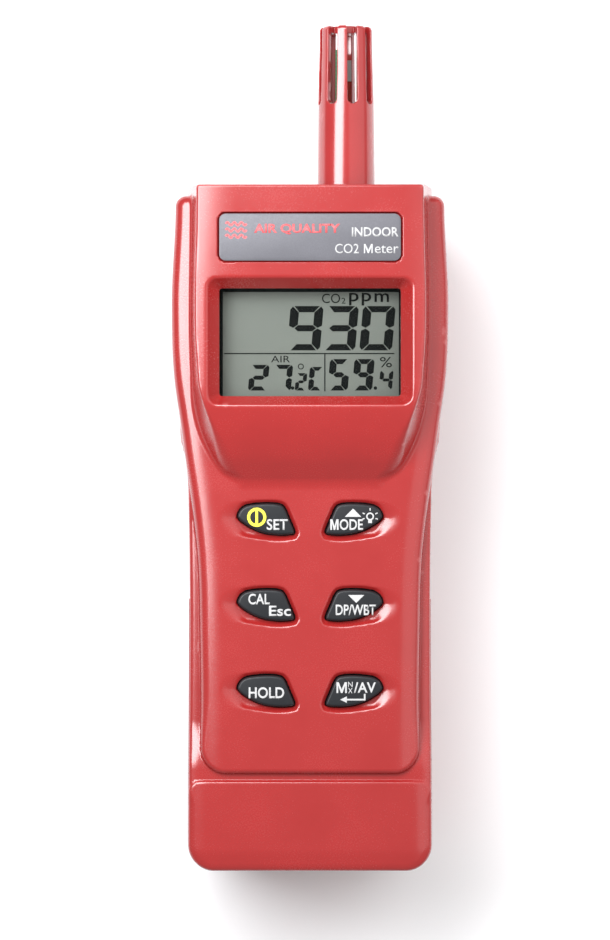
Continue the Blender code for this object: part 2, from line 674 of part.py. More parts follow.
def make_cells(materials):
    """Four cells in two layers, alternately end for end, with their springs and contact plates."""
    inside_low, inside_high = TRAY_INSIDE_Y
    number = 0
    for z in (CELL_LOW_Z, CELL_LOW_Z + CELL_PITCH):
        for x in (-CELL_PITCH / 2, CELL_PITCH / 2):
            number += 1
            up = 1 if (x > 0) == (z > CELL_LOW_Z) else -1
            half = CELL_LENGTH / 2
            middle = CELL_MID_Y + up * 2.0
            ends = [(-half, 5.5), (-half + 0.6, 7.15), (half - 1.8, 7.15)]
            ends += [(half - 1.3, 6.4), (half - 1.2, 2.7), (half, 2.6)]
            stations = [(middle + up * along, radius) for along, radius in ends]
            turned(f"battery_cell_{number}", stations, along_y(x, z), materials["cell"], 16)
            negative = middle - up * half
            wall = inside_low + 0.9 if up > 0 else inside_high - 0.9
            away = 1 if up > 0 else -1
            start = wall + away * (0.45 + GAP)
            room = abs(negative - start) - 0.45 - GAP
            steel = materials["steel"]
            coil(f"battery_spring_{number}", x, z, start, away * room, (4.4, 2.2), 3, 0.4, steel)
    plate_z = (CELL_LOW_Z + 1, CELL_LOW_Z + CELL_PITCH + 4)
    for name, y in (("plus_contact", inside_high - 0.6), ("bridge_contact", inside_low + 0.3)):
        for side, x in (("left", (-13.65, -1.3)), ("right", (1.3, 13.65))):
            block(f"{name}_{side}", x, (y, y + 0.3), plate_z, materials["steel"])


# ---------------------------------------------------------------- fasteners


def make_screws(materials):
    steel = materials["steel"]
    number = 0
    for places, seat, length in (
        (HEAD_SCREWS, HEAD_BOSS_Z - 2, 11),
        (FOOT_SCREWS, TRAY_PLATE_Z[0], 10),
    ):
        for x, y in places:
            number += 1
            low = seat - GAP - 1.7
            profile = [(low, SCREW_HEAD - 0.5), (low + 0.5, SCREW_HEAD), (seat - GAP, SCREW_HEAD)]
            profile += [(seat - GAP, SCREW_SHANK), (seat + length - 1.5, SCREW_SHANK), (seat + length, 0.3)]
            turned(f"case_screw_{number}", profile, upright(x, y), steel, 12)
    for i, (x, y) in enumerate(BOARD_SCREWS, 1):
        top = BOARD_Z - GAP
        profile = [(top - 1.3, 2.0), (top, 2.2), (top, BOARD_SHANK), (KEYPAD_Z - WALL - 1, BOARD_SHANK)]
        turned(f"board_screw_{i}", profile, upright(x, y), steel, 10)


def main():
    clear_scene()
    materials = make_materials()
    make_front_shell(materials)
    make_rear_shell(materials)
    make_battery_door(materials)
    make_keys(materials)
    make_keypad_mat(materials)
    make_display(materials)
    make_plates(materials)
    make_main_board(materials)
    make_carbon_dioxide_sensor(materials)
    make_probe(materials)
    make_sockets(materials)
    make_cells(materials)
    make_screws(materials)


main()
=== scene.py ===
"""Looks of the carbon dioxide monitor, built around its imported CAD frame.

The moulded parts are implicit shapes: a function gives each point's distance to the surface,
and a mesh is drawn on its zero level. Distances are in millimetres in the row frame: +X right
across the face, +Y towards the probe, +Z out of the face, Z = 0 where the meter rests.
"""

import math

import bmesh
import bpy
import numpy as np
from mathutils import Matrix, Vector


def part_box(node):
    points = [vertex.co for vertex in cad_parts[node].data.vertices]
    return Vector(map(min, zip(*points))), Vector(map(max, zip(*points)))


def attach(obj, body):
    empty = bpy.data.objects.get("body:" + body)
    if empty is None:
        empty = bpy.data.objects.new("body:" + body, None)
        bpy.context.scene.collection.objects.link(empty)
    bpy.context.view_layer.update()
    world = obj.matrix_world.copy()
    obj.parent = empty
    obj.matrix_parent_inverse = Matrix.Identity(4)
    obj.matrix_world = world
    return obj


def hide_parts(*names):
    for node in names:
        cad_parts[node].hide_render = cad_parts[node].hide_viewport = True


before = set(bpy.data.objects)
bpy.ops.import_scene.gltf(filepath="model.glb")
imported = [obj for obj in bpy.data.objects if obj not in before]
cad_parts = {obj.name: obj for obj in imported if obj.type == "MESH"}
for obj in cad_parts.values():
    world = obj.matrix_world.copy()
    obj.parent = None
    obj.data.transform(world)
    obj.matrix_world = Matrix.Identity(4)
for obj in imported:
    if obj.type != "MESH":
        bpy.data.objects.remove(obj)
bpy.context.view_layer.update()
for default_object in ("Cube", "Light", "Camera"):
    if default_object in bpy.data.objects:
        bpy.data.objects.remove(bpy.data.objects[default_object])

MM = 0.001


def low_high(node):
    """A CAD node's box in millimetres, as two lists."""
    low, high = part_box(node)
    return [c / MM for c in low], [c / MM for c in high]


def middle(low, high):
    return [(a + b) / 2 for a, b in zip(low, high)]


def measures(node):
    """A CAD node's box, its centre, and half its width."""
    low, high = low_high(node)
    return low, high, middle(low, high), (high[0] - low[0]) / 2


FRONT_LOW, FRONT_HIGH = low_high("front_shell")
DOOR_HIGH = low_high("battery_door")[1]
PROBE_LOW, PROBE_HIGH = low_high("probe_housing")
PANEL_LOW, PANEL_HIGH = low_high("lcd_panel")
PLATE_LOW, PLATE_HIGH = low_high("nameplate")
KEY_LOW, KEY_HIGH = low_high("key_power")

# Heights above the resting plane
HEAD_Z = FRONT_HIGH[2]
SEAM_Z = 36.0
KEYPAD_Z = 46.8
FOOT_Z = 45.6
STRIP_Z = 42.5
STRIP_RISE = 2.4
WALL = 2.2
GAP = 0.3

# Along the meter
BOTTOM_Y = FRONT_LOW[1]
HEAD_TOP_Y = FRONT_HIGH[1]
RAIL_TOP_Y = HEAD_TOP_Y - 2.6
FOOT_TOP_Y = -80.4
TONGUE_END_Y = -78.8
STRIP_END_Y = 30
DOOR_TOP_Y = DOOR_HIGH[1] + GAP

# Corner radii, seen from the front
BOTTOM_RADIUS = 6.3
TOP_RADIUS = 2.6
FOOT_RADIUS = 2.8
TONGUE_RADIUS = 6
RAIL_RADIUS = 1.2

# Outlines as (Y, half width), read as smooth curves
WAIST_SIDE = [(-3, 30.1), (5, 31.2), (17, 32.9), (34, 33.54), (59, 32.6)]
UPPER_SIDE = [(-68, 26.4), (-46, 26.6), (-26, 27.2), (-11, 28.9)] + WAIST_SIDE
LOWER_SIDE = [(-96, 29.45), (-15, 29.45), (-9, 29.6)] + WAIST_SIDE
HEAD_BASE_SIDE = [(-9, 18.6), (-5.4, 21.9), (1.8, 25.9), (9, 27.8), (19, 28.4), (60, 28.4)]
HEAD_FACE_SIDE = [(-9.3, 12.6), (-4, 17.0), (2, 20.8), (9, 24.6), (14, 26.4), (20, 27.05), (60, 27.1)]
HEAD_BASE_Z = 46.4
HEAD_BASE_Y = -9.3
HEAD_FACE_Y = 4.8
HEAD_BROW = 0.55
BROW_START = 18
BROW_REACH = 9

# Display and nameplate
DISPLAY_Y = middle(PANEL_LOW, PANEL_HIGH)[1]
LCD_SUNK = 1.9
MOUTH = (49.9, 31.0)
OPENING = (43.6, 25.9)
OPENING_Z = 52.0
FLANGE_Z = 50.6
PLATE_Y = middle(PLATE_LOW, PLATE_HIGH)[1]
PLATE = (PLATE_HIGH[0] - PLATE_LOW[0] + 2 * GAP, PLATE_HIGH[1] - PLATE_LOW[1] + 2 * GAP)
PLATE_RADIUS = 1.9
PLATE_RECESS = 0.9
PLATE_EDGE = 0.12

# Keys: points round the leaf-shaped hole of a key in the left column, and round the dish it stands in
KEY_X = 10.8
KEY_ROWS = (-17.4, -38.15, -58.9)
KEY_NAMES = (("power", "mode"), ("cal", "down"), ("hold", "enter"))
KEY_HOLE = [(-6.9, 1.2), (-6.1, 2.7), (-4.5, 3.7), (-1.7, 4.1), (1.1, 4.2), (3.6, 3.9), (4.8, 3.0)]
KEY_HOLE += [(6.0, 0.3), (7.2, -2.6), (7.0, -3.5), (6.0, -3.8), (3.2, -3.9), (-0.1, -3.5)]
KEY_HOLE += [(-2.9, -2.5), (-5.3, -1.1), (-6.7, 0.2)]
DISH = [(-10.6, 0.6), (-9.7, 2.3), (-7.6, 3.6), (-4.5, 4.4), (-1.7, 4.75), (1.1, 4.8), (3.9, 4.5)]
DISH += [(5.4, 3.4), (6.7, 0.6), (7.9, -2.4), (7.9, -3.9), (6.8, -4.8), (2.4, -5.1), (-3.3, -4.4)]
DISH += [(-7.3, -3.4), (-9.8, -1.6)]
KEY_GAP = 0.3
KEY_FLANGE_Z = 44.2
DISH_DEPTH = 0.95

# Probe
PROBE_X, _, PROBE_Z = middle(PROBE_LOW, PROBE_HIGH)
PROBE_SIDE = [(50, 7.0), (62, 7.0), (83.4, 6.82), (102.5, 6.45)]
PROBE_BORE = 5.05
PROBE_END_WALL = 1.8
PROBE_HOLE = 7.3
PROBE_HOLE_Y = 59
COLLAR_RADIUS = 8.6
COLLAR_Y = (56, 58.4)
SLOT_START_Y = 83.4
SLOT_WIDTH = 2.5
SLOT_FLOOR = 3.4
SLOT_TURN = math.radians(13.5)
SLOT_COUNT = 8


# ---- implicit shapes


def meet(a, b, radius):
    """Intersection of two fields, its edge rounded."""
    reach = np.hypot(np.maximum(a + radius, 0), np.maximum(b + radius, 0))
    return np.minimum(np.maximum(a, b), -radius) + reach


def fuse(a, b, radius):
    """Union of two fields, with a fillet."""
    return -meet(-a, -b, radius)


def carve(a, b, radius):
    """Field a with b taken away."""
    return meet(a, -b, radius)


def past(value, low, high):
    """Distance past either end of a range, negative within it."""
    return np.maximum(low - value, value - high)


def smooth(knots, y):
    """Smooth curve through (y, value) knots, held flat outside them."""
    ys = np.array([k[0] for k in knots], float)
    vs = np.array([k[1] for k in knots], float)
    slopes = np.gradient(vs, ys)
    slopes[0] = slopes[-1] = 0
    y = np.clip(y, ys[0], ys[-1])
    k = np.clip(np.searchsorted(ys, y, side="right") - 1, 0, len(ys) - 2)
    h = ys[k + 1] - ys[k]
    t = (y - ys[k]) / h
    rise = vs[k] * (1 + 2 * t) * (1 - t) ** 2 + vs[k + 1] * t * t * (3 - 2 * t)
    return rise + h * t * (1 - t) * (slopes[k] * (1 - t) - slopes[k + 1] * t)


def ease(low, high, x):
    """0 below low, 1 above high, and a soft step between them."""
    t = np.clip((x - low) / (high - low), 0, 1)
    return t * t * (3 - 2 * t)


def side_distance(x, y, side, inset=0):
    """Distance to a side outline that is mirrored in X."""
    slant = smooth(side, y + 0.5) - smooth(side, y - 0.5)
    return (np.abs(x) - smooth(side, y) + inset) / np.sqrt(1 + slant * slant)


def plan(x, y, side, low, high, low_radius, high_radius):
    """Distance to an outline between two ends with rounded corners."""
    return meet(meet(side_distance(x, y, side), low - y, low_radius), y - high, high_radius)


def round_box(x, y, half_x, half_y, radius):
    """Distance to a rectangle with round corners."""
    u, v = np.abs(x) - half_x + radius, np.abs(y) - half_y + radius
    return np.minimum(np.maximum(u, v), 0) + np.hypot(np.maximum(u, 0), np.maximum(v, 0)) - radius


def smooth_loop(points, steps=4):
    """Closed smooth curve through the points."""
    made = []
    for i in range(len(points)):
        a, b = Vector(points[i - 1]), Vector(points[i])
        c, d = Vector(points[(i + 1) % len(points)]), Vector(points[(i + 2) % len(points)])
        for k in range(steps):
            t = k / steps
            bend = (2 * a - 5 * b + 4 * c - d) * t * t + (3 * b - a - 3 * c + d) * t**3
            made.append(tuple(b + ((c - a) * t + bend) / 2))
    return made


OUTLINE_REACH = 3


def outline_distance(points, x, y):
    """Signed distance to a closed outline, negative inside. Far from it, the distance to its box."""
    x, y = np.broadcast_arrays(x, y)
    low, high = np.min(points, 0), np.max(points, 0)
    beyond_x = np.maximum(past(x, low[0], high[0]), 0)
    beyond_y = np.maximum(past(y, low[1], high[1]), 0)
    distance = np.hypot(beyond_x, beyond_y)
    close = distance < OUTLINE_REACH
    x, y = x[close], y[close]
    nearest = np.full(x.shape, 1e9)
    inside = np.zeros(x.shape, bool)
    for (ax, ay), (bx, by) in zip(points, points[1:] + points[:1]):
        dx, dy = bx - ax, by - ay
        t = np.clip(((x - ax) * dx + (y - ay) * dy) / (dx * dx + dy * dy), 0, 1)
        nearest = np.minimum(nearest, (x - ax - t * dx) ** 2 + (y - ay - t * dy) ** 2)
        if dy:
            inside ^= ((ay > y) != (by > y)) & (x < ax + (y - ay) * dx / dy)
    distance[close] = np.where(inside, -1, 1) * np.sqrt(nearest)
    return distance


def cell_corners():
    """Offsets of a grid cell's eight corners, and the index pairs of its twelve edges."""
    corners = [(i, j, k) for i in (0, 1) for j in (0, 1) for k in (0, 1)]
    edges = [(a, b) for a in range(8) for b in range(a + 1, 8)
             if sum(abs(p - q) for p, q in zip(corners[a], corners[b])) == 1]
    return corners, edges


SLAB = 12


def surface(field, low, high, step):
    """Points and quads on a field's zero level within a box, one point per cell that it crosses."""
    axes = [np.arange(l - 2 * step, h + 3 * step, step) for l, h in zip(low, high)]
    values = np.empty([len(axis) for axis in axes], np.float32)
    for i in range(0, len(axes[0]), SLAB):
        x, y, z = np.meshgrid(axes[0][i:i + SLAB], axes[1], axes[2], indexing="ij", sparse=True)
        values[i:i + SLAB] = field(x, y, z)
    inside = values < 0
    corners, edges = cell_corners()
    n = [s - 1 for s in values.shape]

    def corner(array, offset):
        return array[tuple(slice(o, o + m) for o, m in zip(offset, n))]

    count = sum(corner(inside, c).astype(np.int8) for c in corners)
    cells = np.argwhere((count > 0) & (count < 8))
    number = np.full(n, -1, np.int32)
    number[tuple(cells.T)] = np.arange(len(cells))
    at = [values[tuple((cells + c).T)] for c in corners]
    total, hits = np.zeros((len(cells), 3)), np.zeros(len(cells))
    for a, b in edges:
        crossed = (at[a] < 0) != (at[b] < 0)
        t = at[a][crossed] / (at[a][crossed] - at[b][crossed])
        start, run = np.array(corners[a], float), np.array(corners[b], float) - corners[a]
        total[crossed] += start + t[:, None] * run
        hits[crossed] += 1
    points = (cells + total / hits[:, None]) * step + [axis[0] for axis in axes]

    quads = []
    for axis in range(3):
        u, v = [d for d in range(3) if d != axis]
        first = inside[tuple(slice(0, -1) if d == axis else slice(1, -1) for d in range(3))]
        second = inside[tuple(slice(1, None) if d == axis else slice(1, -1) for d in range(3))]
        for change, flip in ((first & ~second, False), (second & ~first, True)):
            loop = []
            for du, dv in ((1, 1), (0, 1), (0, 0), (1, 0)):
                cell = np.argwhere(change)
                cell[:, u] += du
                cell[:, v] += dv
                loop.append(number[tuple(cell.T)])
            loop = np.stack(loop, 1)
            quads.append(loop[:, ::-1] if flip != (axis == 1) else loop)
    return settle(field, points, step), np.concatenate(quads)


def slope_of(field, points, h):
    """A field's value at each point, and its gradient there."""
    value = field(*points.T)
    ways = []
    for d in range(3):
        ahead = points.copy()
        ahead[:, d] += h
        ways.append((field(*ahead.T) - value) / h)
    return value, np.stack(ways, 1)


def settle(field, points, step):
    """Points moved onto the surface itself."""
    for _ in range(2):
        value, gradient = slope_of(field, points, 0.02)
        move = -(value / np.maximum((gradient**2).sum(1), 0.09))[:, None] * gradient
        length = np.linalg.norm(move, axis=1, keepdims=True)
        points = points + move * np.minimum(1, 0.45 * step / np.maximum(length, 1e-9))
    return points


# ---- the moulded parts


def key_fold(x, y):
    """Coordinates around the nearest key, the right column mirrored onto the left."""
    local = y - KEY_ROWS[0]
    for row in KEY_ROWS[1:]:
        local = np.where(np.abs(y - row) < np.abs(local), y - row, local)
    return KEY_X - np.abs(x), local


def crown(x, side, y, fall, reach):
    """How far a top surface has fallen near its sides."""
    return fall * ease(0, 1, (np.abs(x) - smooth(side, y) + reach) / reach) ** 1.5


def head_field(x, y, z, inset, roof, edge):
    """The raised head, its sides drafted and its lower end a slope down to the keys."""
    t = (z - HEAD_BASE_Z) / (HEAD_Z - HEAD_BASE_Z)
    half, ahead = [
        smooth(HEAD_BASE_SIDE, at) * (1 - t) + smooth(HEAD_FACE_SIDE, at) * t - inset
        for at in (y, y + 0.5)
    ]
    slant = (ahead - half) * 2
    side = (np.abs(x) - half) / np.sqrt(1 + slant * slant)
    rise, run = HEAD_Z - HEAD_BASE_Z, HEAD_FACE_Y - HEAD_BASE_Y
    slope = ((HEAD_BASE_Y + run * t) - y) * rise / math.hypot(rise, run) + inset
    brow = HEAD_BROW * (np.maximum(np.abs(x) - BROW_START, 0) / BROW_REACH) ** 2
    top = meet(z - roof + brow, slope, 6.0)
    walls = meet(side, y - HEAD_TOP_Y + inset + 0.6 * np.clip(t, 0, 1), 0.8)
    return meet(top, walls, edge + 1.6 * ease(9, -3, y))


def front_outside(x, y, z):
    """Keypad slab, the lower strip beside it, the foot, and the raised head, fused."""
    upper = plan(x, y, UPPER_SIDE, TONGUE_END_Y, RAIL_TOP_Y, TONGUE_RADIUS, TOP_RADIUS)
    upper_top = KEYPAD_Z - crown(x, UPPER_SIDE, y, 0.8, 6.5)
    upper = meet(upper, z - upper_top, 2.3 - 1.1 * ease(-60, -74, y))
    lower = plan(x, y, LOWER_SIDE, BOTTOM_Y, STRIP_END_Y, BOTTOM_RADIUS, RAIL_RADIUS)
    lower_top = STRIP_Z + STRIP_RISE * ease(-66, -78, y) - crown(x, LOWER_SIDE, y, 0.3, 3.0)
    lower = meet(lower, z - lower_top, 1.0)
    foot = plan(x, y, LOWER_SIDE, BOTTOM_Y, FOOT_TOP_Y, BOTTOM_RADIUS, FOOT_RADIUS)
    foot_top = FOOT_Z - crown(x, LOWER_SIDE, y, 0.6, 5.5) - 0.5 * ease(BOTTOM_Y + 5.5, BOTTOM_Y, y)
    foot = meet(foot, z - foot_top, 1.9 - 1.0 * ease(-87, -83, y))
    foot = meet(foot, y - FOOT_TOP_Y, 0.5)
    head = head_field(x, y, z, 0, HEAD_Z, 0.55)
    return fuse(fuse(fuse(upper, lower, 0.35), foot, 0.35), head, 0.9)


def front_void(x, y, z):
    """The hollow inside the front shell, less a collar around the display."""
    upper = plan(x, y, UPPER_SIDE, TONGUE_END_Y + WALL, RAIL_TOP_Y - WALL, 4, 1)
    upper = meet(upper + WALL, z - KEYPAD_Z + WALL + 0.8, 0.5)
    lower = plan(x, y, LOWER_SIDE, BOTTOM_Y, 8, BOTTOM_RADIUS, RAIL_RADIUS)
    lower = np.maximum(lower + WALL, z - STRIP_Z + WALL)
    foot = plan(x, y, LOWER_SIDE, BOTTOM_Y, FOOT_TOP_Y, BOTTOM_RADIUS, FOOT_RADIUS)
    foot = np.maximum(foot + WALL, z - FOOT_Z + WALL + 0.4)
    head = head_field(x, y, z, WALL, HEAD_Z - WALL, 0.3)
    void = np.minimum(np.minimum(upper, lower), np.minimum(foot, head))
    collar = np.maximum(round_box(x, y - DISPLAY_Y, 26.3, 17.2, 1), 42.2 - z)
    return np.maximum(void, -collar)


KEY_OUTLINE = smooth_loop(KEY_HOLE)
DISH_OUTLINE = smooth_loop(DISH)


def key_pockets(x, y, z, shell):
    """Dishes with sloping walls, and the holes that the keys stand in."""
    kx, ky = key_fold(x, y)
    slack = 0.5 + 2.6 * ease(-4.5, -9, kx)
    fall = slack * np.maximum(KEYPAD_Z - z, -0.3)
    wall = (outline_distance(DISH_OUTLINE, kx, ky) + fall) / np.sqrt(1 + slack * slack)
    shell = carve(shell, meet(wall, KEYPAD_Z - DISH_DEPTH - z, 1.0), 0.3)
    hole = np.maximum(outline_distance(KEY_OUTLINE, kx, ky), 40 - z)
    return carve(shell, hole, 0.15)


def display_cuts(x, y, z, shell):
    """The flared opening over the LCD, the pocket behind it and the nameplate's recess."""
    t = np.clip((z - OPENING_Z) / (HEAD_Z - OPENING_Z), 0, 1.3)
    half_x = (OPENING[0] + (MOUTH[0] - OPENING[0]) * t) / 2
    half_y = (OPENING[1] + (MOUTH[1] - OPENING[1]) * t) / 2
    mouth = round_box(x, y - DISPLAY_Y, half_x, half_y, 0.6 + 1.9 * t) * 0.8
    shell = carve(shell, np.maximum(mouth, 45 - z), 0.45)
    pocket = np.maximum(round_box(x, y - DISPLAY_Y, 24.4, 15.4, 0.6), z - FLANGE_Z)
    shell = carve(shell, pocket, 0.05)
    recess = round_box(x, y - PLATE_Y, PLATE[0] / 2, PLATE[1] / 2, PLATE_RADIUS)
    return carve(shell, np.maximum(recess, HEAD_Z - PLATE_RECESS - z), 0.12)


def probe_hole(x, y, z):
    return np.maximum(np.hypot(x - PROBE_X, z - PROBE_Z) - PROBE_HOLE, PROBE_HOLE_Y - y)


def front_field(x, y, z):
    shell = meet(front_outside(x, y, z), SEAM_Z - z, 0.25)
    shell = carve(shell, front_void(x, y, z), 0.1)
    shell = display_cuts(x, y, z, shell)
    shell = key_pockets(x, y, z, shell)
    return carve(shell, probe_hole(x, y, z), 0.15)


# How far the rear half stands in from the seam's outline, as (Z, inset): at its sides and at its ends
HULL_SIDE = [(0, 10.6), (1.6, 7.6), (5, 4.6), (12, 2.0), (24, 0.5), (36, 0)]
HULL_END = [(0, 5.6), (1.6, 3.4), (5, 2.0), (12, 0.9), (24, 0.3), (36, 0)]


def hull_field(x, y, z, grow):
    """The rear half, widest at the seam and narrowing to the flat back."""
    side = smooth(HULL_SIDE, z)
    end = smooth(HULL_END, z)
    lean = (smooth(HULL_SIDE, z + 0.1) - smooth(HULL_SIDE, z - 0.1)) / 0.2
    low, high = BOTTOM_Y + end, RAIL_TOP_Y - 1.6 * end
    edge = side_distance(x, y, LOWER_SIDE, side)
    walls = meet(meet(edge, low - y, BOTTOM_RADIUS), y - high, TOP_RADIUS) / np.sqrt(1 + lean * lean)
    return meet(walls - grow, -z, 0.8)


def head_back_field(x, y, z):
    """The thick back of the head."""
    taper = np.clip((22 - z) / 10, 0, 1)
    half = 28.2 - 2.7 * taper
    high = HEAD_TOP_Y - 7.6 * taper
    walls = meet(np.abs(x) - half, (y - high) * 0.8, 0.8)
    return meet(walls, 12 - z, 0.8)


def box_field(x, y, z, low, high, radius=0.2):
    """Block between two corners, its edges rounded."""
    wide = meet(past(x, low[0], high[0]), past(y, low[1], high[1]), radius)
    return meet(wide, past(z, low[2], high[2]), radius)


def post_field(x, y, z, cx, cy, radius, low, high):
    return meet(np.hypot(x - cx, y - cy) - radius, past(z, low, high), 0.15)


HEAD_SCREWS = ((-18.5, 44.5), (18.5, 44.5))
FOOT_SCREWS = ((-22.0, -88.0), (22.0, -88.0))
VENT_ROWS = range(12, 29, 4)
VENT_HALF = (13, 0.9)
LABEL_Y = -18.0
LABEL_HALF = (15.5, 8.5)
LABEL_RECESS = 0.7
BULKHEAD_END_Y = -34.6
INSIDE_Z = 33.6
SCREW_BORE = 1.6

# Battery tray: its body, its rim and the hollow for the cells
TRAY = ((-16.9, -98, 9), (16.9, -35.9, 33.2))
TRAY_RIM = ((-27, -93.5, 32.2), (27, -35.8, INSIDE_Z))
TRAY_HOLLOW = ((-15.3, -96.4, -5), (15.3, -38.4, 32.2))

# Sockets: the wall behind them, the sunk panel in the side, and each hole as (Y, radius)
SOCKET_WALL = ((24.8, -30.3, 12.9), (26.6, -7.2, 28.1))
JACK_PANEL_Y = -18.75
JACK_PANEL_HALF = (9.75, 6)
JACK_PANEL_X = 26.8
JACKS = ((-14.2, 4.3), (-24.2, 3.5))
JACK_Z = 20.5


def rear_field(x, y, z):
    outside = fuse(hull_field(x, y, z, 0), head_back_field(x, y, z), 0.4)
    outside = meet(outside, z - SEAM_Z + GAP, 0.25)
    void = np.maximum(hull_field(x, y, z, -WALL), WALL - z)
    shell = carve(outside, void, 0.2)
    shell = meet(shell, DOOR_TOP_Y - y, 0.2)
    bulkhead = past(y, DOOR_TOP_Y, BULKHEAD_END_Y)
    bulkhead = np.maximum(hull_field(x, y, z, -0.4), bulkhead)
    shell = np.minimum(shell, meet(bulkhead, z - INSIDE_Z, 0.2))
    tray = np.minimum(box_field(x, y, z, *TRAY), box_field(x, y, z, *TRAY_RIM))
    tray = carve(tray, box_field(x, y, z, *TRAY_HOLLOW), 0.1)
    for cx, cy in FOOT_SCREWS:
        tray = carve(tray, post_field(x, y, z, cx, cy, SCREW_BORE, 30, 36), 0.1)
    shell = fuse(shell, tray, 0.3)
    for cx, cy in HEAD_SCREWS:
        shell = fuse(shell, post_field(x, y, z, cx, cy, 4.4, 1, 26), 0.3)
        shell = carve(shell, post_field(x, y, z, cx, cy, 3.1, -3, 24), 0.3)
        shell = carve(shell, post_field(x, y, z, cx, cy, SCREW_BORE, 20, 30), 0.1)
    for row in VENT_ROWS:
        shell = carve(shell, np.maximum(round_box(x, y - row, *VENT_HALF, 0.85), z - 4), 0.3)
    label = round_box(x, y - LABEL_Y, *LABEL_HALF, 1)
    shell = carve(shell, np.maximum(label, z - LABEL_RECESS), 0.2)
    wall = np.maximum(box_field(x, y, z, *SOCKET_WALL), hull_field(x, y, z, -0.3))
    shell = fuse(shell, wall, 0.1)
    panel = round_box(y - JACK_PANEL_Y, z - JACK_Z, *JACK_PANEL_HALF, 1.2)
    shell = carve(shell, meet(panel, JACK_PANEL_X - x, 0.2), 0.35)
    for jack_y, radius in JACKS:
        hole = np.maximum(np.hypot(y - jack_y, z - JACK_Z) - radius, 22 - x)
        shell = carve(shell, hole, 0.15)
    return carve(shell, probe_hole(x, y, z), 0.15)


THUMB_Y = -47.0
THUMB_HALF = (8.5, 4.7)
RIDGE_COUNT = 4
RIDGE_HALF = (6.5, 0.35)
RIDGE_PITCH = 2
DOOR_LIP = ((25.8, -93, 33.9), (28.4, -37.3, 35.5))


def door_field(x, y, z):
    """The sliding battery door, with a ribbed thumb dish in its outer face."""
    outside = meet(hull_field(x, y, z, 0.35), z - SEAM_Z + GAP, 0.25)
    shell = carve(outside, np.maximum(hull_field(x, y, z, -1.65), 2 - z), 0.2)
    shell = meet(shell, y - DOOR_HIGH[1], 0.3)
    shell = np.minimum(shell, box_field(np.abs(x), y, z, *DOOR_LIP, 0.1))
    dish = round_box(x, y - THUMB_Y, *THUMB_HALF, 2)
    shell = carve(shell, meet((dish + 0.7 * z) * 0.8, z - 1.0, 0.5), 0.3)
    for i in range(RIDGE_COUNT):
        across = y - THUMB_Y + RIDGE_PITCH * ((RIDGE_COUNT - 1) / 2 - i)
        ridge = meet(np.abs(across) - RIDGE_HALF[1], np.abs(x) - RIDGE_HALF[0], 0.3)
        shell = np.minimum(shell, meet(ridge, past(z, 0.3, 1.6), 0.3))
    return np.maximum(shell, -z)


def probe_field(x, y, z):
    """The slotted tube of the probe."""
    u, w = x - PROBE_X, z - PROBE_Z
    radius = np.hypot(u, w)
    body = meet(meet(radius - smooth(PROBE_SIDE, y), y - PROBE_HIGH[1], 1.1), PROBE_LOW[1] - y, 0.2)
    collar = meet(radius - COLLAR_RADIUS, past(y, *COLLAR_Y), 0.3)
    body = np.minimum(body, collar)
    bore = np.maximum(radius - PROBE_BORE, y - PROBE_HIGH[1] + PROBE_END_WALL)
    body = carve(body, bore, 0.2)
    turn = 2 * math.pi / SLOT_COUNT
    angle = np.mod(np.arctan2(u, w) - SLOT_TURN + turn / 2, turn) - turn / 2
    across, out = radius * np.sin(angle), radius * np.cos(angle)
    start = SLOT_START_Y + SLOT_WIDTH / 2
    slot = np.where(y < start, np.hypot(across, y - start), np.abs(across)) - SLOT_WIDTH / 2
    return carve(body, np.maximum(slot, SLOT_FLOOR - out), 0.22)


# ---- mesh helpers


PRINT_THICK = 0.03
LETTER_WELD = 0.0002


def link(name, mesh):
    made = bpy.data.objects.new(name, mesh)
    bpy.context.scene.collection.objects.link(made)
    return made


def grid_mesh(name, points, faces):
    mesh = bpy.data.meshes.new(name)
    mesh.vertices.add(len(points))
    mesh.vertices.foreach_set("co", (points * MM).astype(np.float32).ravel())
    mesh.loops.add(faces.size)
    mesh.loops.foreach_set("vertex_index", faces.astype(np.int32).ravel())
    mesh.polygons.add(len(faces))
    mesh.polygons.foreach_set("loop_start", np.arange(0, faces.size, 4, dtype=np.int32))
    mesh.update(calc_edges=True)
    mesh.validate()
    return mesh


def moulded(name, field, low, high, step, keep=1.0):
    """Object on a field's zero level, thinned to a share of its faces, with the field's normals."""
    points, faces = surface(field, low, high, step * (1))
    piece = link(name, grid_mesh(name, np.clip(points, low, high), faces))
    if keep < 1:
        thin = piece.modifiers.new("thin", "DECIMATE")
        thin.ratio = keep
        graph = bpy.context.evaluated_depsgraph_get()
        mesh = bpy.data.meshes.new_from_object(piece.evaluated_get(graph))
        piece.modifiers.clear()
        piece.data = mesh
    mesh = piece.data
    places = np.empty(len(mesh.vertices) * 3, np.float32)
    mesh.vertices.foreach_get("co", places)
    _, normals = slope_of(field, places.reshape(-1, 3).astype(float) / MM, 0.04)
    normals /= np.maximum(np.linalg.norm(normals, axis=1, keepdims=True), 1e-9)
    mesh.shade_smooth()
    mesh.normals_split_custom_set_from_vertices(normals.tolist())
    return piece


def from_bmesh(name, bm):
    mesh = bpy.data.meshes.new(name)
    bm.to_mesh(mesh)
    bm.free()
    return link(name, mesh)


def polygons(name, shapes, z, thick=PRINT_THICK):
    """Thin flat piece from outlines, its top at height z."""
    bm = bmesh.new()
    for shape in shapes:
        bm.faces.new([bm.verts.new((x * MM, y * MM, (z - thick) * MM)) for x, y in shape])
    return thicken(name, bm, thick)


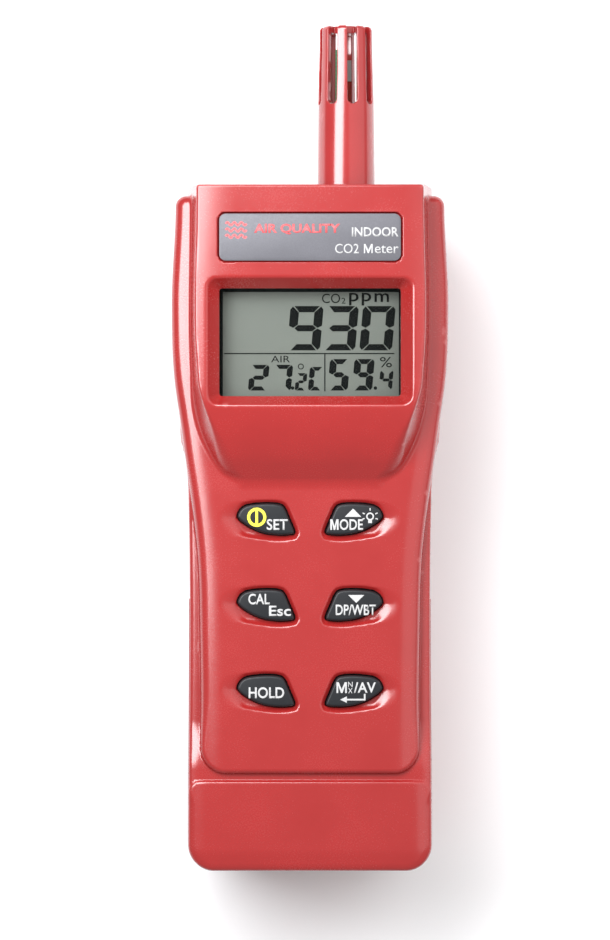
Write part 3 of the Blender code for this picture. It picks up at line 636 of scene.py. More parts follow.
def thicken(name, bm, thick):
    """Raises flat faces into a closed piece."""
    raised = bmesh.ops.extrude_face_region(bm, geom=list(bm.faces))
    moved = [item for item in raised["geom"] if isinstance(item, bmesh.types.BMVert)]
    bmesh.ops.translate(bm, vec=(0, 0, thick * MM), verts=moved)
    bmesh.ops.recalc_face_normals(bm, faces=bm.faces)
    return from_bmesh(name, bm)


def lettering(name, words, x, y, width, height, z, weight=0.0, thick=PRINT_THICK):
    """Text as a thin piece, fitted to a box with its lower left corner at (x, y)."""
    curve = bpy.data.curves.new(name, "FONT")
    curve.body = words
    curve.size = 1
    curve.offset = weight
    curve.resolution_u = 4
    typed = link(name + "_curve", curve)
    bpy.context.view_layer.update()
    mesh = bpy.data.meshes.new_from_object(typed)
    bpy.data.objects.remove(typed)
    bm = bmesh.new()
    bm.from_mesh(mesh)
    bmesh.ops.remove_doubles(bm, verts=bm.verts, dist=LETTER_WELD)
    low = Vector([min(v.co[d] for v in bm.verts) for d in (0, 1)])
    span = Vector([max(v.co[d] for v in bm.verts) for d in (0, 1)]) - low
    for vertex in bm.verts:
        vertex.co.x = (x + (vertex.co.x - low.x) / span.x * width) * MM
        vertex.co.y = (y + (vertex.co.y - low.y) / span.y * height) * MM
        vertex.co.z = (z - thick) * MM
    return thicken(name, bm, thick)


def merge(name, *parts):
    """Joins pieces into one."""
    bm = bmesh.new()
    for part in parts:
        bm.from_mesh(part.data)
        bpy.data.objects.remove(part)
    return from_bmesh(name, bm)


def smooth_shading(piece, angle=35):
    piece.data.shade_smooth()
    piece.data.set_sharp_from_angle(angle=math.radians(angle))
    return piece


def skin(bm, rings, bands):
    """Faces between the rings of vertices, and over both ends."""
    for low, high, band in zip(rings, rings[1:], bands):
        for i in range(len(low)):
            j = (i + 1) % len(low)
            bm.faces.new((low[i], low[j], high[j], high[i])).material_index = band
    bm.faces.new(reversed(rings[0])).material_index = bands[0]
    bm.faces.new(rings[-1]).material_index = bands[-1]


def turned(name, profile, matrix, count=48, bands=()):
    """Solid of revolution about matrix @ +Z, from (along, radius) stations.

    Bands give the material index of each strip between two stations.
    """
    bm = bmesh.new()
    rings = []
    for along, radius in profile:
        ring = []
        for i in range(count):
            a = 2 * math.pi * i / count
            at = matrix @ Vector((radius * math.cos(a), radius * math.sin(a), along))
            ring.append(bm.verts.new(at * MM))
        rings.append(ring)
    skin(bm, rings, bands or [0] * (len(rings) - 1))
    bmesh.ops.recalc_face_normals(bm, faces=bm.faces)
    return smooth_shading(from_bmesh(name, bm))


def along_y(x, z):
    return Matrix.Translation((x, 0, z)) @ Matrix.Rotation(-math.pi / 2, 4, "X")


def along_x(y, z):
    return Matrix.Translation((0, y, z)) @ Matrix.Rotation(math.pi / 2, 4, "Y")


# ---- materials


def add_node(tree, kind, inputs=(), **settings):
    """Adds a shader node; an input's value may be a constant or another node's output."""
    made = tree.nodes.new("ShaderNode" + kind)
    for key, value in settings.items():
        setattr(made, key, value)
    for key, value in dict(inputs).items():
        if isinstance(value, bpy.types.NodeSocket):
            tree.links.new(value, made.inputs[key])
        else:
            made.inputs[key].default_value = value
    return made


def new_material(name):
    material = bpy.data.materials.new(name)
    material.use_nodes = True
    tree = material.node_tree
    return material, tree, tree.nodes["Principled BSDF"]


def noise(tree, size, detail=2.0, rough=0.5, stretch=None):
    """Noise whose features are about size millimetres across."""
    place = add_node(tree, "TexCoord").outputs["Object"]
    if stretch:
        place = add_node(tree, "Mapping", {"Vector": place, "Scale": stretch}).outputs[0]
    inputs = {"Vector": place, "Scale": 1 / (size * MM), "Detail": detail, "Roughness": rough}
    return add_node(tree, "TexNoise", inputs).outputs["Fac"]


def ranged(tree, value, low, high, to_low, to_high):
    inputs = {"Value": value, "From Min": low, "From Max": high, "To Min": to_low, "To Max": to_high}
    return add_node(tree, "MapRange", inputs).outputs[0]


def blend_colour(tree, factor, a, b):
    mix = add_node(tree, "Mix", {0: factor, 6: a, 7: b}, data_type="RGBA")
    return mix.outputs[2]


def shade(colour, by):
    return (*[min(1, c * by) for c in colour], 1)


def connect(tree, shader, base, rough, relief, strength, height):
    """Gives the shader its colour, its roughness, and a relief of some height in millimetres."""
    tree.links.new(base, shader.inputs["Base Color"])
    tree.links.new(rough, shader.inputs["Roughness"])
    inputs = {"Strength": strength, "Distance": height * MM, "Height": relief}
    tree.links.new(add_node(tree, "Bump", inputs).outputs[0], shader.inputs["Normal"])


def textured(name, colour, rough, grain, bump, height, tint, spread=0.08, pale_edges=0.0):
    """Material with fine relief, clouds in its colour and roughness, and paler convex edges."""
    material, tree, shader = new_material(name)
    fine = noise(tree, grain, 1.0)
    cloud = noise(tree, 14, 4.0, 0.6)
    clouds = ranged(tree, cloud, 0.3, 0.7, 0, 1)
    base = blend_colour(tree, clouds, shade(colour, 1 - tint), shade(colour, 1 + tint))
    specks = ranged(tree, fine, 0.35, 0.65, 0, 0.5)
    base = blend_colour(tree, specks, base, shade(colour, 1 - 1.5 * tint))
    # Convex edges, found by pointiness, are made paler
    if pale_edges:
        point = add_node(tree, "NewGeometry").outputs["Pointiness"]
        edge = ranged(tree, point, 0.52, 0.62, 0, pale_edges)
        base = blend_colour(tree, edge, base, shade([c + 0.12 for c in colour], 1.25))
    total = add_node(tree, "Math", {0: cloud, 1: fine}, operation="ADD").outputs[0]
    gloss = ranged(tree, total, 0.7, 1.3, rough - spread, rough + spread)
    connect(tree, shader, base, gloss, fine, bump, height)
    for key, value in EXTRAS.get(name, {}).items():
        shader.inputs[key].default_value = value
    return material


def brushed(name, colour, rough, stretch):
    """Metal with fine brush lines across the stretched direction."""
    material, tree, shader = new_material(name)
    lines = noise(tree, 0.3, 4.0, 0.7, stretch)
    cloud = noise(tree, 12, 3.0)
    streaks = ranged(tree, lines, 0.3, 0.7, 0, 1)
    base = blend_colour(tree, streaks, shade(colour, 0.86), shade(colour, 1.1))
    base = blend_colour(tree, ranged(tree, cloud, 0.4, 0.7, 0, 0.3), base, shade(colour, 0.8))
    gloss = ranged(tree, lines, 0.3, 0.7, rough - 0.06, rough + 0.1)
    connect(tree, shader, base, gloss, lines, 0.25, 0.01)
    shader.inputs["Metallic"].default_value = 1.0
    return material


def clear_pane(name):
    """Thin clear plastic with a trace of dust, its reflection growing at a slant."""
    material, tree, shader = new_material(name)
    dust = noise(tree, 1.2, 6.0, 0.7)
    rough = ranged(tree, dust, 0.4, 0.8, 0.02, 0.12)
    gloss = add_node(tree, "BsdfAnisotropic", {"Roughness": rough})
    through = add_node(tree, "BsdfTransparent", {"Color": (0.96, 0.975, 0.965, 1)})
    slant = add_node(tree, "LayerWeight", {"Blend": 0.35}).outputs["Facing"]
    share = add_node(tree, "Math", {0: slant, 1: 3.0}, operation="POWER").outputs[0]
    share = ranged(tree, share, 0, 1, 0.004, 0.6)
    mix = add_node(tree, "MixShader", {0: share, 1: through.outputs[0], 2: gloss.outputs[0]})
    tree.links.new(mix.outputs[0], tree.nodes["Material Output"].inputs["Surface"])
    tree.nodes.remove(shader)
    return material


def circuit_board(name):
    """Green solder mask with faint lighter tracks and plated dots."""
    material, tree, shader = new_material(name)
    place = add_node(tree, "TexCoord").outputs["Object"]
    grid = {"Vector": place, "Scale": 260.0, "Mortar Size": 0.05}
    tracks = add_node(tree, "TexBrick", grid).outputs["Fac"]
    dots = add_node(tree, "TexVoronoi", {"Vector": place, "Scale": 320.0}).outputs["Distance"]
    base = blend_colour(tree, tracks, (0.015, 0.13, 0.045, 1), (0.03, 0.22, 0.08, 1))
    base = blend_colour(tree, ranged(tree, dots, 0.12, 0.1, 0, 1), base, (0.6, 0.5, 0.3, 1))
    gloss = ranged(tree, noise(tree, 0.3, 3.0), 0.3, 0.7, 0.3, 0.45)
    connect(tree, shader, base, gloss, tracks, 0.4, 0.03)
    return material


# Name, colour, roughness, grain size, bump, relief height, tint, spread of roughness, paleness of
# convex edges
LOOKS = (
    ("red_shell", (0.318, 0.0155, 0.0150), 0.25, 0.36, 0.25, 0.012, 0.05, 0.04, 0.3),
    ("red_probe", (0.305, 0.0160, 0.0165), 0.17, 0.3, 0.06, 0.01, 0.04, 0.03, 0.2),
    ("key_rubber", (0.012, 0.0135, 0.016), 0.4, 0.25, 0.2, 0.02, 0.12, 0.06, 0.1),
    ("mat_rubber", (0.05, 0.05, 0.055), 0.75, 0.5, 0.3, 0.04, 0.15),
    ("carbon_pill", (0.012, 0.012, 0.012), 0.5, 0.2, 0.3, 0.02, 0.2),
    ("lcd", (0.150, 0.157, 0.144), 0.7, 0.12, 0.05, 0.01, 0.03, 0.04),
    # The LCD ink also paints the bezel's shadow round the opening
    ("lcd_ink", (0.004, 0.005, 0.005), 0.8, 0.2, 0.05, 0.01, 0.15),
    ("nameplate", (0.124, 0.123, 0.139), 0.5, 0.22, 0.5, 0.02, 0.12),
    ("label", (0.62, 0.62, 0.64), 0.45, 0.4, 0.1, 0.01, 0.04, 0.06),
    ("white_ink", (0.47, 0.47, 0.47), 0.5, 0.2, 0.1, 0.01, 0.03),
    ("grey_ink", (0.12, 0.12, 0.13), 0.5, 0.2, 0.1, 0.01, 0.05),
    ("yellow_ink", (0.86, 0.80, 0.05), 0.5, 0.2, 0.1, 0.01, 0.04),
    ("coral_ink", (0.72, 0.12, 0.13), 0.5, 0.2, 0.1, 0.01, 0.06),
    ("white_plastic", (0.72, 0.72, 0.69), 0.45, 0.4, 0.2, 0.02, 0.04),
    ("sensor_grey", (0.18, 0.17, 0.16), 0.5, 0.3, 0.2, 0.02, 0.1),
    ("chip", (0.022, 0.022, 0.024), 0.5, 0.3, 0.4, 0.03, 0.2),
    ("cell_jacket", (0.03, 0.034, 0.045), 0.28, 0.8, 0.08, 0.02, 0.1, 0.05),
    ("cell_band", (0.48, 0.24, 0.10), 0.28, 0.8, 0.08, 0.02, 0.1, 0.05),
    ("paper", (0.84, 0.84, 0.845), 0.9, 0.6, 0.1, 0.02, 0.005, 0.02),
)
EXTRAS = {
    "red_shell": {"IOR": 1.6, "Coat Weight": 0.5, "Coat Roughness": 0.16},
    "red_probe": {"IOR": 1.65, "Coat Weight": 0.5, "Coat Roughness": 0.14},
    "key_rubber": {"Specular IOR Level": 0.35},
    "lcd": {"Specular IOR Level": 0.15},
    "lcd_ink": {"Specular IOR Level": 0.1},
    "nameplate": {"Metallic": 0.22},
    "cell_jacket": {"Coat Weight": 0.4},
    "cell_band": {"Metallic": 0.7},
}
MATERIALS = {look[0]: textured(*look) for look in LOOKS}
MATERIALS["window"] = clear_pane("window")
MATERIALS["board"] = circuit_board("board")
MATERIALS["steel"] = brushed("steel", (0.56, 0.56, 0.57), 0.3, (1, 0.06, 1))
MATERIALS["gold"] = brushed("gold", (0.76, 0.56, 0.26), 0.34, (0.06, 1, 1))


def finish_piece(piece, body, materials, *nodes):
    """Gives a piece its materials and its body.

    A piece that stands for CAD nodes also hides them.
    """
    piece.data.materials.clear()
    for material in materials:
        piece.data.materials.append(MATERIALS[material])
    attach(piece, body)
    if nodes:
        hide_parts(*nodes)


# ---- shells and probe


# Piece, field, CAD node, body, material, grid step, share of faces kept
SHELLS = (
    ("front_case", front_field, "front_shell", "housing", "red_shell", 0.45, 0.35),
    ("rear_case", rear_field, "rear_shell", "housing", "red_shell", 0.5, 0.3),
    ("door_case", door_field, "battery_door", "door", "red_shell", 0.45, 0.35),
    ("probe_case", probe_field, "probe_housing", "housing", "red_probe", 0.25, 0.45),
)


def build_shells():
    for name, field, node, body, material, step, keep in SHELLS:
        finish_piece(moulded(name, field, *low_high(node), step, keep), body, [material], node)


# ---- keys


def key_top(x, y):
    """Height of a key's crowned top, from coordinates about its centre in the left column."""
    return KEY_HIGH[2] - 0.012 * np.maximum(np.hypot((x + 0.4) / 1.7, y) - 0.6, 0) ** 2


def build_key(name, x, y, mirror):
    """Key cap with a flange under the shell; mirror is -1 in the right column."""

    def field(px, py, pz):
        kx, ky = (px - x) * mirror, py - y
        edge = outline_distance(KEY_OUTLINE, kx, ky) + KEY_GAP
        cap = meet(edge, pz - key_top(kx, ky), 0.55)
        flange = meet(edge - 2 * KEY_GAP, pz - KEY_FLANGE_Z, 0.1)
        return np.maximum(np.minimum(cap, flange), KEY_LOW[2] - pz)

    low, high = low_high("key_" + name)
    cap = moulded("keycap_" + name, field, low, high, 0.25)
    finish_piece(cap, "key_" + name, ["key_rubber"], "key_" + name)


def on_key(piece, x, y, mirror):
    """Lays a thin flat piece on the key's crowned top."""
    bm = bmesh.new()
    bm.from_mesh(piece.data)
    long_edges = [edge for edge in bm.edges if edge.calc_length() > 0.7 * MM]
    bmesh.ops.subdivide_edges(bm, edges=long_edges, cuts=3, use_grid_fill=True)
    for vertex in bm.verts:
        kx, ky = (vertex.co.x / MM - x) * mirror, vertex.co.y / MM - y
        vertex.co.z += (float(key_top(kx, ky)) + PRINT_THICK - KEY_HIGH[2]) * MM
    bm.to_mesh(piece.data)
    bm.free()
    return piece


def letter_m(x, y, w, h, t):
    """Outline of a capital M with its lower left corner at (x, y)."""
    half = [(0, 0), (0, h), (1.25 * t, h), (w / 2, 0.34 * h)]
    inner = [(w / 2 - 0.45 * t, 0), (t, 0.7 * h), (t, 0)]
    points = half + [(w - px, py) for px, py in half[2::-1] + inner[::-1]] + inner
    return [(x + px, y + py) for px, py in points]


def ring_shapes(cx, cy, outer, inner, count=40):
    """Outlines that make up a ring."""
    turns = [2 * math.pi * i / count for i in range(count + 1)]
    corners = [[(outer, a), (outer, b), (inner, b), (inner, a)] for a, b in zip(turns, turns[1:])]
    return [[(cx + r * math.cos(t), cy + r * math.sin(t)) for r, t in four] for four in corners]


def bar_shape(x1, y1, x2, y2, thick):
    """Outline of a straight bar between two points."""
    start, end = Vector((x1, y1)), Vector((x2, y2))
    side = (end - start).normalized().orthogonal() * thick / 2
    return [tuple(p) for p in (start + side, end + side, end - side, start - side)]


def lamp_shapes(cx, cy):
    """A small lamp with five rays."""
    shapes = ring_shapes(cx, cy, 0.95, 0.62, 24)
    shapes.append(bar_shape(cx, cy - 0.9, cx, cy - 1.6, 0.9))
    for turn in (-20, 25, 90, 155, 200):
        u, v = math.cos(math.radians(turn)), math.sin(math.radians(turn))
        shapes.append(bar_shape(cx + 1.4 * u, cy + 1.4 * v, cx + 2.0 * u, cy + 2.0 * v, 0.26))
    return shapes


# Words on the keys, about each key's centre: (text, left, low, width, height, added weight)
KEY_WORDS = {
    "power": [("SET", 0.35, -2.5, 5.1, 2.65, 0.02)],
    "mode": [("ODE", -3.65, -2.5, 5.65, 2.65, 0.02)],
    "cal": [("CAL", -4.1, 0.3, 5.2, 2.6, 0.02), ("Esc", 0.9, -2.5, 5.3, 2.5, 0.02)],
    "down": [("DP/WBT", -4.6, -2.3, 9.7, 2.6, 0.02)],
    "hold": [("HOLD", -4.0, -1.6, 8.6, 2.7, 0.022)],
    "enter": [
        ("N", -1.6, 1.1, 1.1, 1.3, 0.004),
        ("X", -1.6, -0.4, 1.1, 1.3, 0.004),
        ("/AV", -0.2, -0.3, 5.3, 2.6, 0.02),
    ],
}
UP_ARROW = [(-2.4, 0.7), (1.6, 0.7), (-0.4, 2.7)]
DOWN_ARROW = [(-1.6, 2.6), (2.3, 2.6), (0.35, 0.7)]
RETURN_ARROW = [
    bar_shape(2.4, -0.5, 2.4, -2.1, 0.4),
    bar_shape(2.2, -1.9, -1.9, -1.9, 0.4),
    [(-1.9, -1.1), (-3.5, -1.9), (-1.9, -2.7)],
]
KEY_SIGNS = {
    "mode": [letter_m(-5.9, -2.45, 2.0, 2.55, 0.42), UP_ARROW] + lamp_shapes(3.7, 0.8),
    "down": [DOWN_ARROW],
    "enter": [letter_m(-4.4, -0.3, 2.5, 2.6, 0.42)] + RETURN_ARROW,
}
POWER_SIGN = ring_shapes(-2.05, 0.6, 2.3, 1.6) + [bar_shape(-2.05, -1.0, -2.05, 2.2, 0.62)]


def build_legends(name, x, y, mirror):
    def signs(made, shapes):
        return polygons(made, [[(x + px, y + py) for px, py in s] for s in shapes], KEY_HIGH[2])

    if name == "power":
        ring = on_key(signs("power_ring", POWER_SIGN), x, y, mirror)
        finish_piece(ring, "key_power", ["yellow_ink"])
    parts = []
    for words, left, low, width, height, weight in KEY_WORDS[name]:
        parts.append(lettering("w", words, x + left, y + low, width, height, KEY_HIGH[2], weight))
    if name in KEY_SIGNS:
        parts.append(signs("w", KEY_SIGNS[name]))
    legend = on_key(merge("legend_" + name, *parts), x, y, mirror)
    finish_piece(legend, "key_" + name, ["white_ink"])


def build_keys():
    for y, names in zip(KEY_ROWS, KEY_NAMES):
        for name, side in zip(names, (-1, 1)):
            build_key(name, side * KEY_X, y, -side)
            build_legends(name, side * KEY_X, y, -side)


# ---- display

SEGMENTS = {"0": "abcdef", "2": "abged", "3": "abgcd", "4": "fgbc", "5": "afgcd"}
SEGMENTS.update({"7": "abc", "9": "abcdfg", "C": "afed"})
SLANT = 0.087
LCD_PRINT = 0.02

# Digits as (symbol, left, low, width, height), and dots and the degree sign as ring_shapes has them
LCD_DIGITS = (
    ("9", -5.6, 23.5, 8.0, 10.7), ("3", 2.8, 23.5, 8.1, 10.7),
    ("0", 11.9, 23.5, 7.9, 10.7), ("2", -15.0, 13.8, 4.7, 6.2),
    ("7", -9.3, 13.8, 4.7, 6.2), ("2", -3.7, 13.8, 2.7, 4.2),
    ("C", -0.5, 13.8, 3.5, 5.7), ("5", 4.2, 13.8, 4.9, 7.6),
    ("9", 10.1, 13.8, 4.9, 7.6), ("4", 16.6, 14.1, 3.2, 4.5),
)
LCD_RINGS = (
    (-4.2, 14.4, 0.42, 0.01, 12),
    (15.8, 14.4, 0.42, 0.01, 12),
    (-2.2, 19.6, 0.72, 0.5, 16),
)
LCD_RULES = ((-20.7, 22.72, 20.4, 22.72, 0.28), (3.6, 22.6, 3.6, 13.6, 0.28))

# Words as (text, left, low, width, height, added weight)
LCD_WORDS = (
    ("CO", 2.9, 34.9, 4.4, 2.3, 0), ("2", 7.6, 34.8, 1.0, 1.4, 0),
    ("p", 9.45, 34.35, 2.3, 3.05, 0.01), ("p", 12.5, 34.35, 2.3, 3.05, 0.01),
    ("m", 15.6, 35.2, 3.5, 2.1, 0.01), ("AIR", -9.4, 20.6, 4.6, 1.6, 0),
    ("%", 16.9, 19.4, 2.9, 2.5, 0),
)

# Painted shadow of the bezel, a dark band inside the opening: widths at its left, right and top, and
# its reach under the shell
LCD_SHADOW_BAND = (1.35, 0.95, 1.25)
LCD_SHADOW_UNDER = 0.6


def digit_shapes(symbol, x, y, w, h):
    """Seven-segment digit with its lower left corner at (x, y)."""
    tx, ty = (0.2 * h, 0.14 * h) if h > 10 else (0.225 * h, 0.16 * h)
    c, e = 0.4 * tx, 0.008 * h
    half = h / 2
    top = [(c + e, h), (w - c - e, h), (w - tx - e, h - ty), (tx + e, h - ty)]
    left = [(0, h - c), (c * 0.7, h - e), (tx, h - ty - e)]
    left += [(tx, half + ty / 2 + e), (tx / 2, half + e), (0, half + ty * 0.4)]
    middle_bar = [(tx * 0.6 + e, half), (tx + e, half + ty / 2), (w - tx - e, half + ty / 2)]
    middle_bar += [(w - px, h - py) for px, py in middle_bar]
    shapes = {
        "a": top,
        "b": [(w - px, py) for px, py in left],
        "c": [(w - px, h - py) for px, py in left],
        "d": [(px, h - py) for px, py in top],
        "e": [(px, h - py) for px, py in left],
        "f": left,
        "g": middle_bar,
    }
    return [[(x + px + SLANT * py, y + py) for px, py in shapes[key]] for key in SEGMENTS[symbol]]


def block(left, low, right, high):
    """Outline of a rectangle."""
    return [(left, low), (right, low), (right, high), (left, high)]


def build_display():
    top = PANEL_HIGH[2] - LCD_SUNK
    glass = plate_mesh("lcd_glass", PANEL_LOW, PANEL_HIGH, top, 0.6, 0.1)
    finish_piece(glass, "housing", ["lcd"], "lcd_panel")
    z = top + LCD_PRINT
    shapes = []
    for digit in LCD_DIGITS:
        shapes += digit_shapes(*digit)
    for ring in LCD_RINGS:
        shapes += ring_shapes(*ring)
    shapes += [bar_shape(*rule) for rule in LCD_RULES]
    # Dark blocks at the left, right and top of the opening are painted shadow of the bezel, in the
    # LCD ink
    right = OPENING[0] / 2 + LCD_SHADOW_UNDER
    low = DISPLAY_Y - OPENING[1] / 2 - LCD_SHADOW_UNDER
    high = DISPLAY_Y + OPENING[1] / 2 + LCD_SHADOW_UNDER
    inner_left, inner_right = LCD_SHADOW_BAND[0] - right, right - LCD_SHADOW_BAND[1]
    shapes.append(block(-right, low, inner_left, high))
    shapes.append(block(inner_right, low, right, high))
    shapes.append(block(inner_left + 0.01, high - LCD_SHADOW_BAND[2], inner_right - 0.01, high))
    parts = [polygons("lcd_segments", shapes, z, LCD_PRINT)]
    for words, left, foot, width, height, weight in LCD_WORDS:
        parts.append(lettering("t", words, left, foot, width, height, z, weight, LCD_PRINT))
    finish_piece(merge("lcd_digits", *parts), "housing", ["lcd_ink"])


def plate_mesh(name, low, high, top, radius, edge):
    """Flat plate over a CAD box, with round corners and a softly rounded upper edge."""
    cx, cy, _ = middle(low, high)
    half_x, half_y = (high[0] - low[0]) / 2, (high[1] - low[1]) / 2
    bm = bmesh.new()
    rings = []
    for inset, z in ((0, low[2]), (0, top - edge), (edge * 0.3, top - edge * 0.3), (edge, top)):
        ring = []
        for sx, sy, first in ((1, -1, -90), (1, 1, 0), (-1, 1, 90), (-1, -1, 180)):
            for i in range(9):
                a = math.radians(first + 90 * i / 8)
                px = cx + sx * (half_x - radius) + (radius - inset) * math.cos(a)
                py = cy + sy * (half_y - radius) + (radius - inset) * math.sin(a)
                ring.append(bm.verts.new((px * MM, py * MM, z * MM)))
        rings.append(ring)
    skin(bm, rings, [0] * (len(rings) - 1))
    return smooth_shading(from_bmesh(name, bm))


# The wavy mark on the nameplate
WAVE_ROWS = 3
WAVE_PITCH = 1.5
WAVE_STEPS = 36
WAVE_LEFT = -20.2
WAVE_LENGTH = 5
WAVE_RISE = 0.4


def wave_shapes(y):
    points = []
    for i in range(WAVE_STEPS + 1):
        t = i / WAVE_STEPS
        points.append((WAVE_LEFT + WAVE_LENGTH * t, y + WAVE_RISE * math.sin(6 * math.pi * t)))
    return [bar_shape(*a, *b, 0.5) for a, b in zip(points, points[1:])]


def build_nameplate():
    top = PLATE_HIGH[2] - 0.02
    plate = plate_mesh("face_plate", PLATE_LOW, PLATE_HIGH, top, PLATE_RADIUS - GAP, PLATE_EDGE)
    finish_piece(plate, "housing", ["nameplate"], "nameplate")
    z = PLATE_HIGH[2]
    words = [
        lettering("t", "INDOOR", 10.0, PLATE_Y + 0.1, 11.2, 2.3, z, 0.022),
        lettering("t", "CO2", 6.0, PLATE_Y - 3.9, 5.7, 2.3, z, 0.005),
        polygons("t", [letter_m(12.9, PLATE_Y - 3.85, 2.1, 2.2, 0.3)], z),
        lettering("t", "eter", 15.5, PLATE_Y - 3.9, 5.7, 2.0, z, 0.005),
    ]
    finish_piece(merge("plate_words", *words), "housing", ["white_ink"])
    title = lettering("t", "AIR QUALITY", -13.4, PLATE_Y + 0.6, 20.6, 2.6, z, 0.03)
    waves = []
    for row in range(WAVE_ROWS):
        waves += wave_shapes(PLATE_Y + 3.2 - WAVE_PITCH * row)
    mark = merge("plate_mark", title, polygons("t", waves, z))
    finish_piece(mark, "housing", ["coral_ink"])


def build_rear_label():
    """Four grey lines in place of the label's text, every other one shorter."""
    low, _ = low_high("rear_label")
    rows = []
    for i in range(4):
        y = LABEL_Y + 4.5 - 3 * i
        rows.append(bar_shape(-12, y, 12 - 6 * (i % 2), y, 0.5))
    lines = polygons("label_lines", rows, low[2] + 0.02)
    finish_piece(lines, "housing", ["grey_ink"])


# ---- cells, springs, screws and sockets


# A cell's outline: (height, inset) from its flat end, then (depth, inset) from its tip, and the tip's
# own (depth, radius). The bands are the material of each strip between two of these.
CELL_FOOT = [(0, 1.7), (0.1, 0.6), (0.5, 0.12), (1.0, 0), (12, 0), (12.02, 0)]
CELL_SHOULDER = [(2.2, 0), (1.8, 0.25), (1.4, 0.8), (1.25, 1.2)]
CELL_TIP = [(1.2, 3.0), (1.0, 2.7), (0.3, 2.6), (0, 2.2)]
CELL_BANDS = [1, 1, 0, 0, 2, 2, 2, 2, 2, 1, 1, 1, 1]
TIP_UP = (1, 4)


def build_cells():
    for number in range(1, 5):
        name = f"battery_cell_{number}"
        low, high, (x, _, z), radius = measures(name)
        tall = high[1] - low[1]
        profile = [(along, radius - inset) for along, inset in CELL_FOOT]
        profile += [(tall - depth, radius - inset) for depth, inset in CELL_SHOULDER]
        profile += [(tall - depth, nub) for depth, nub in CELL_TIP]
        if number in TIP_UP:
            place = Matrix.Translation((0, low[1], 0)) @ along_y(x, z)
        else:
            flip = Matrix.Diagonal((1, 1, -1, 1))
            place = Matrix.Translation((0, high[1], 0)) @ along_y(x, z) @ flip
        cell = turned(f"cell_{number}", profile, place, 64, CELL_BANDS)
        finish_piece(cell, "housing", ["cell_jacket", "steel", "cell_band"], name)


SPRING_WIRE = 0.38
SPRING_TIP_RADIUS = 2.2
SPRING_TURNS = 3
SPRING_STEPS = 90


def build_springs():
    for number in range(1, 5):
        name = f"battery_spring_{number}"
        low, high, (x, _, z), wide = measures(name)
        base = wide - SPRING_WIRE
        length = high[1] - low[1] - 2 * SPRING_WIRE
        curve = bpy.data.curves.new(name, "CURVE")
        curve.dimensions = "3D"
        curve.bevel_depth = SPRING_WIRE * MM
        curve.bevel_resolution = 2
        curve.use_fill_caps = True
        line = curve.splines.new("POLY")
        line.points.add(SPRING_STEPS)
        for i in range(SPRING_STEPS + 1):
            t = i / SPRING_STEPS
            radius = base + (SPRING_TIP_RADIUS - base) * (t if number in TIP_UP else 1 - t)
            turn = 2 * math.pi * SPRING_TURNS * t
            px, pz = x + radius * math.cos(turn), z + radius * math.sin(turn)
            py = low[1] + SPRING_WIRE + length * t
            line.points[i].co = (px * MM, py * MM, pz * MM, 1)
        shape = link(name + "_curve", curve)
        bpy.context.view_layer.update()
        graph = bpy.context.evaluated_depsgraph_get()
        mesh = bpy.data.meshes.new_from_object(shape.evaluated_get(graph))
        bpy.data.objects.remove(shape)
        coil = smooth_shading(link(f"coil_{number}", mesh), 60)
        finish_piece(coil, "housing", ["steel"], name)


SCREW_SHANK = 1.3
SCREW_HEAD = 1.7
CROSS_HALF = (1.5, 0.32)
CROSS_DEPTH = 1.1
THREAD = 0.14
THREAD_PITCH = 0.9


def screw_field(x, y, z, cx, cy, radius, low, high):
    """Cross-head screw, its head at the low end."""
    u, v = x - cx, y - cy
    r = np.hypot(u, v)
    dome = low - z + 0.06 * r * r / radius
    head = meet(meet(r - radius, z - low - SCREW_HEAD, 0.1), dome, 0.35)
    long, thin = CROSS_HALF
    cross = np.maximum(np.abs(u) - thin, np.abs(v) - long)
    cross = np.minimum(cross, np.maximum(np.abs(v) - thin, np.abs(u) - long))
    head = carve(head, np.maximum(cross, z - low - CROSS_DEPTH + 0.35 * r), 0.06)
    thread = THREAD * np.sin(2 * math.pi * (z - low) / THREAD_PITCH + np.arctan2(v, u))
    stem = meet(r - SCREW_SHANK + THREAD - thread, past(z, low + 1, high), 0.2)
    return np.minimum(head, stem)


def build_screws():
    for number in range(1, 5):
        name = f"case_screw_{number}"
        low, high, (cx, cy, _), radius = measures(name)

        def field(x, y, z):
            return screw_field(x, y, z, cx, cy, radius, low[2], high[2])

        screw = moulded(f"screw_{number}", field, low, high, 0.2, 0.5)
        finish_piece(screw, "housing", ["steel"], name)


SOCKET_DEPTH = 8.5


def build_sockets():
    for name, bore in (("power_socket", 1.9), ("data_socket", 1.3)):
        low, high = low_high(name)
        _, y, z = middle(low, high)
        radius = (high[2] - low[2]) / 2
        back, face = low[0], high[0]
        profile = [(back, radius - 0.3), (back + 0.3, radius), (face - 0.4, radius)]
        profile += [(face - 0.1, radius - 0.12), (face, radius - 0.4), (face, bore + 0.5)]
        profile += [(face - 0.12, bore + 0.15), (face - 0.5, bore)]
        profile += [(face - SOCKET_DEPTH, bore), (face - SOCKET_DEPTH, 0.05)]
        socket = turned(name + "_shell", profile, along_x(y, z), 40)
        finish_piece(socket, "housing", ["chip"], name)


# ---- carried-over nodes

# Materials of the CAD nodes that are shown as they are
CARRIED = {
    "contact_power contact_mode contact_cal contact_down contact_hold contact_enter": "carbon_pill",
    "keypad_mat upper_contact_strip lower_contact_strip": "mat_rubber",
    "display_window": "window",
    "light_guide sensor_membrane": "white_plastic",
    "humidity_sensor": "sensor_grey",
    "rear_label": "label",
    "main_board sensor_board probe_board": "board",
    "processor buzzer board_connector temperature_sensor": "chip",
    "sensor_chamber": "gold",
    "bridge_contact_left bridge_contact_right plus_contact_left plus_contact_right": "steel",
    "board_screw_1 board_screw_2 board_screw_3 board_screw_4": "steel",
}


def dress_carried():
    for names, material in CARRIED.items():
        for name in names.split():
            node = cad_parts[name]
            node.data.materials.clear()
            node.data.materials.append(MATERIALS[material])


# ---- studio


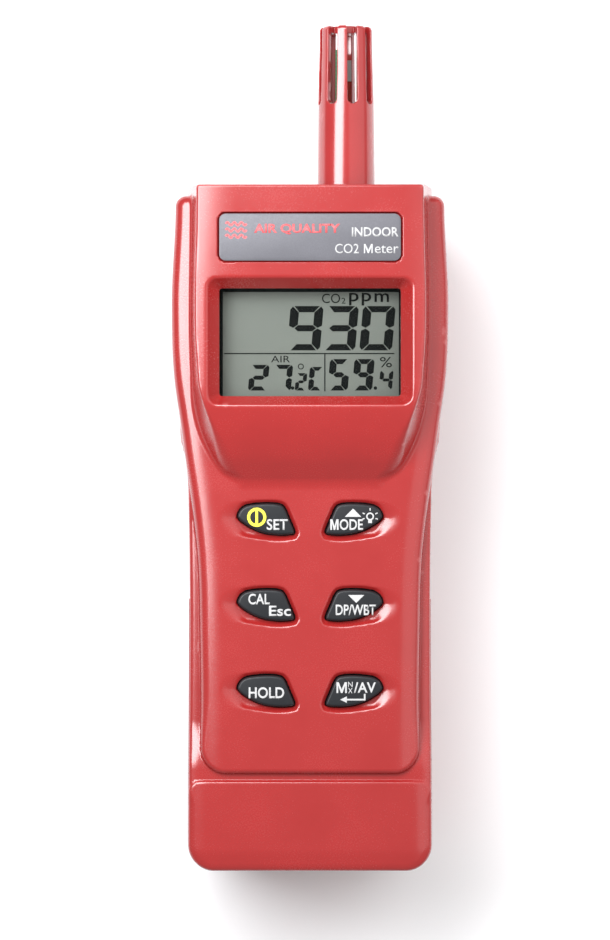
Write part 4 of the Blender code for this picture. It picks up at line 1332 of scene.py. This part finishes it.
# Metres from here on
FLOOR_HALF = 3.0
FLOOR_Z = -0.00015
WORLD_STRENGTH = 0.36
CAMERA_PLACE = (-0.0012, -0.0054, 1.037)
CAMERA_LENS = 157

# (name, centre, target, (width across, width towards the meter), power, colour)
LAMPS = (
    ("left_box", (-0.155, 0.15, 0.38), (0, 0.02, 0.03), (0.42, 0.20), 3.0, (0.97, 0.98, 1.0)),
    ("right_box", (0.50, 0.16, 0.52), (0, 0, 0.03), (0.8, 0.9), 1.5, (1, 1, 1)),
    ("fill", (0.40, 0.12, 0.60), (0, 0, 0.03), (0.8, 0.9), 3.9, (1, 1, 1)),
)


def build_floor():
    mesh = bpy.data.meshes.new("floor")
    corners = [(x, y, FLOOR_Z) for x, y in block(-FLOOR_HALF, -FLOOR_HALF, FLOOR_HALF, FLOOR_HALF)]
    mesh.from_pydata(corners, [], [(0, 1, 2, 3)])
    floor = link("floor", mesh)
    mesh.materials.append(MATERIALS["paper"])


def add_light(name, centre, target, size, power, colour):
    light = bpy.data.lights.new(name, "AREA")
    light.shape = "RECTANGLE"
    light.size, light.size_y = size
    light.energy = power
    light.color = colour
    made = link(name, light)
    made.location = centre
    made.rotation_euler = (Vector(target) - Vector(centre)).to_track_quat("-Z", "Y").to_euler()
    return made


def build_studio():
    build_floor()
    lamps = {lamp[0]: add_light(*lamp) for lamp in LAMPS}
    lamps["fill"].visible_glossy = False
    world = bpy.data.worlds.new("studio")
    bpy.context.scene.world = world
    world.use_nodes = True
    background = world.node_tree.nodes["Background"]
    background.inputs["Color"].default_value = (1, 1, 1, 1)
    background.inputs["Strength"].default_value = WORLD_STRENGTH

    camera = bpy.data.cameras.new("camera")
    camera.sensor_fit = "VERTICAL"
    camera.sensor_height = 36
    camera.lens = CAMERA_LENS
    camera.clip_start = 0.01
    made = link("camera", camera)
    made.location = CAMERA_PLACE
    bpy.context.scene.camera = made
    bpy.context.scene.view_settings.view_transform = "Standard"


build_shells()
build_keys()
build_display()
build_nameplate()
build_rear_label()
build_cells()
build_springs()
build_screws()
build_sockets()
dress_carried()
build_studio()
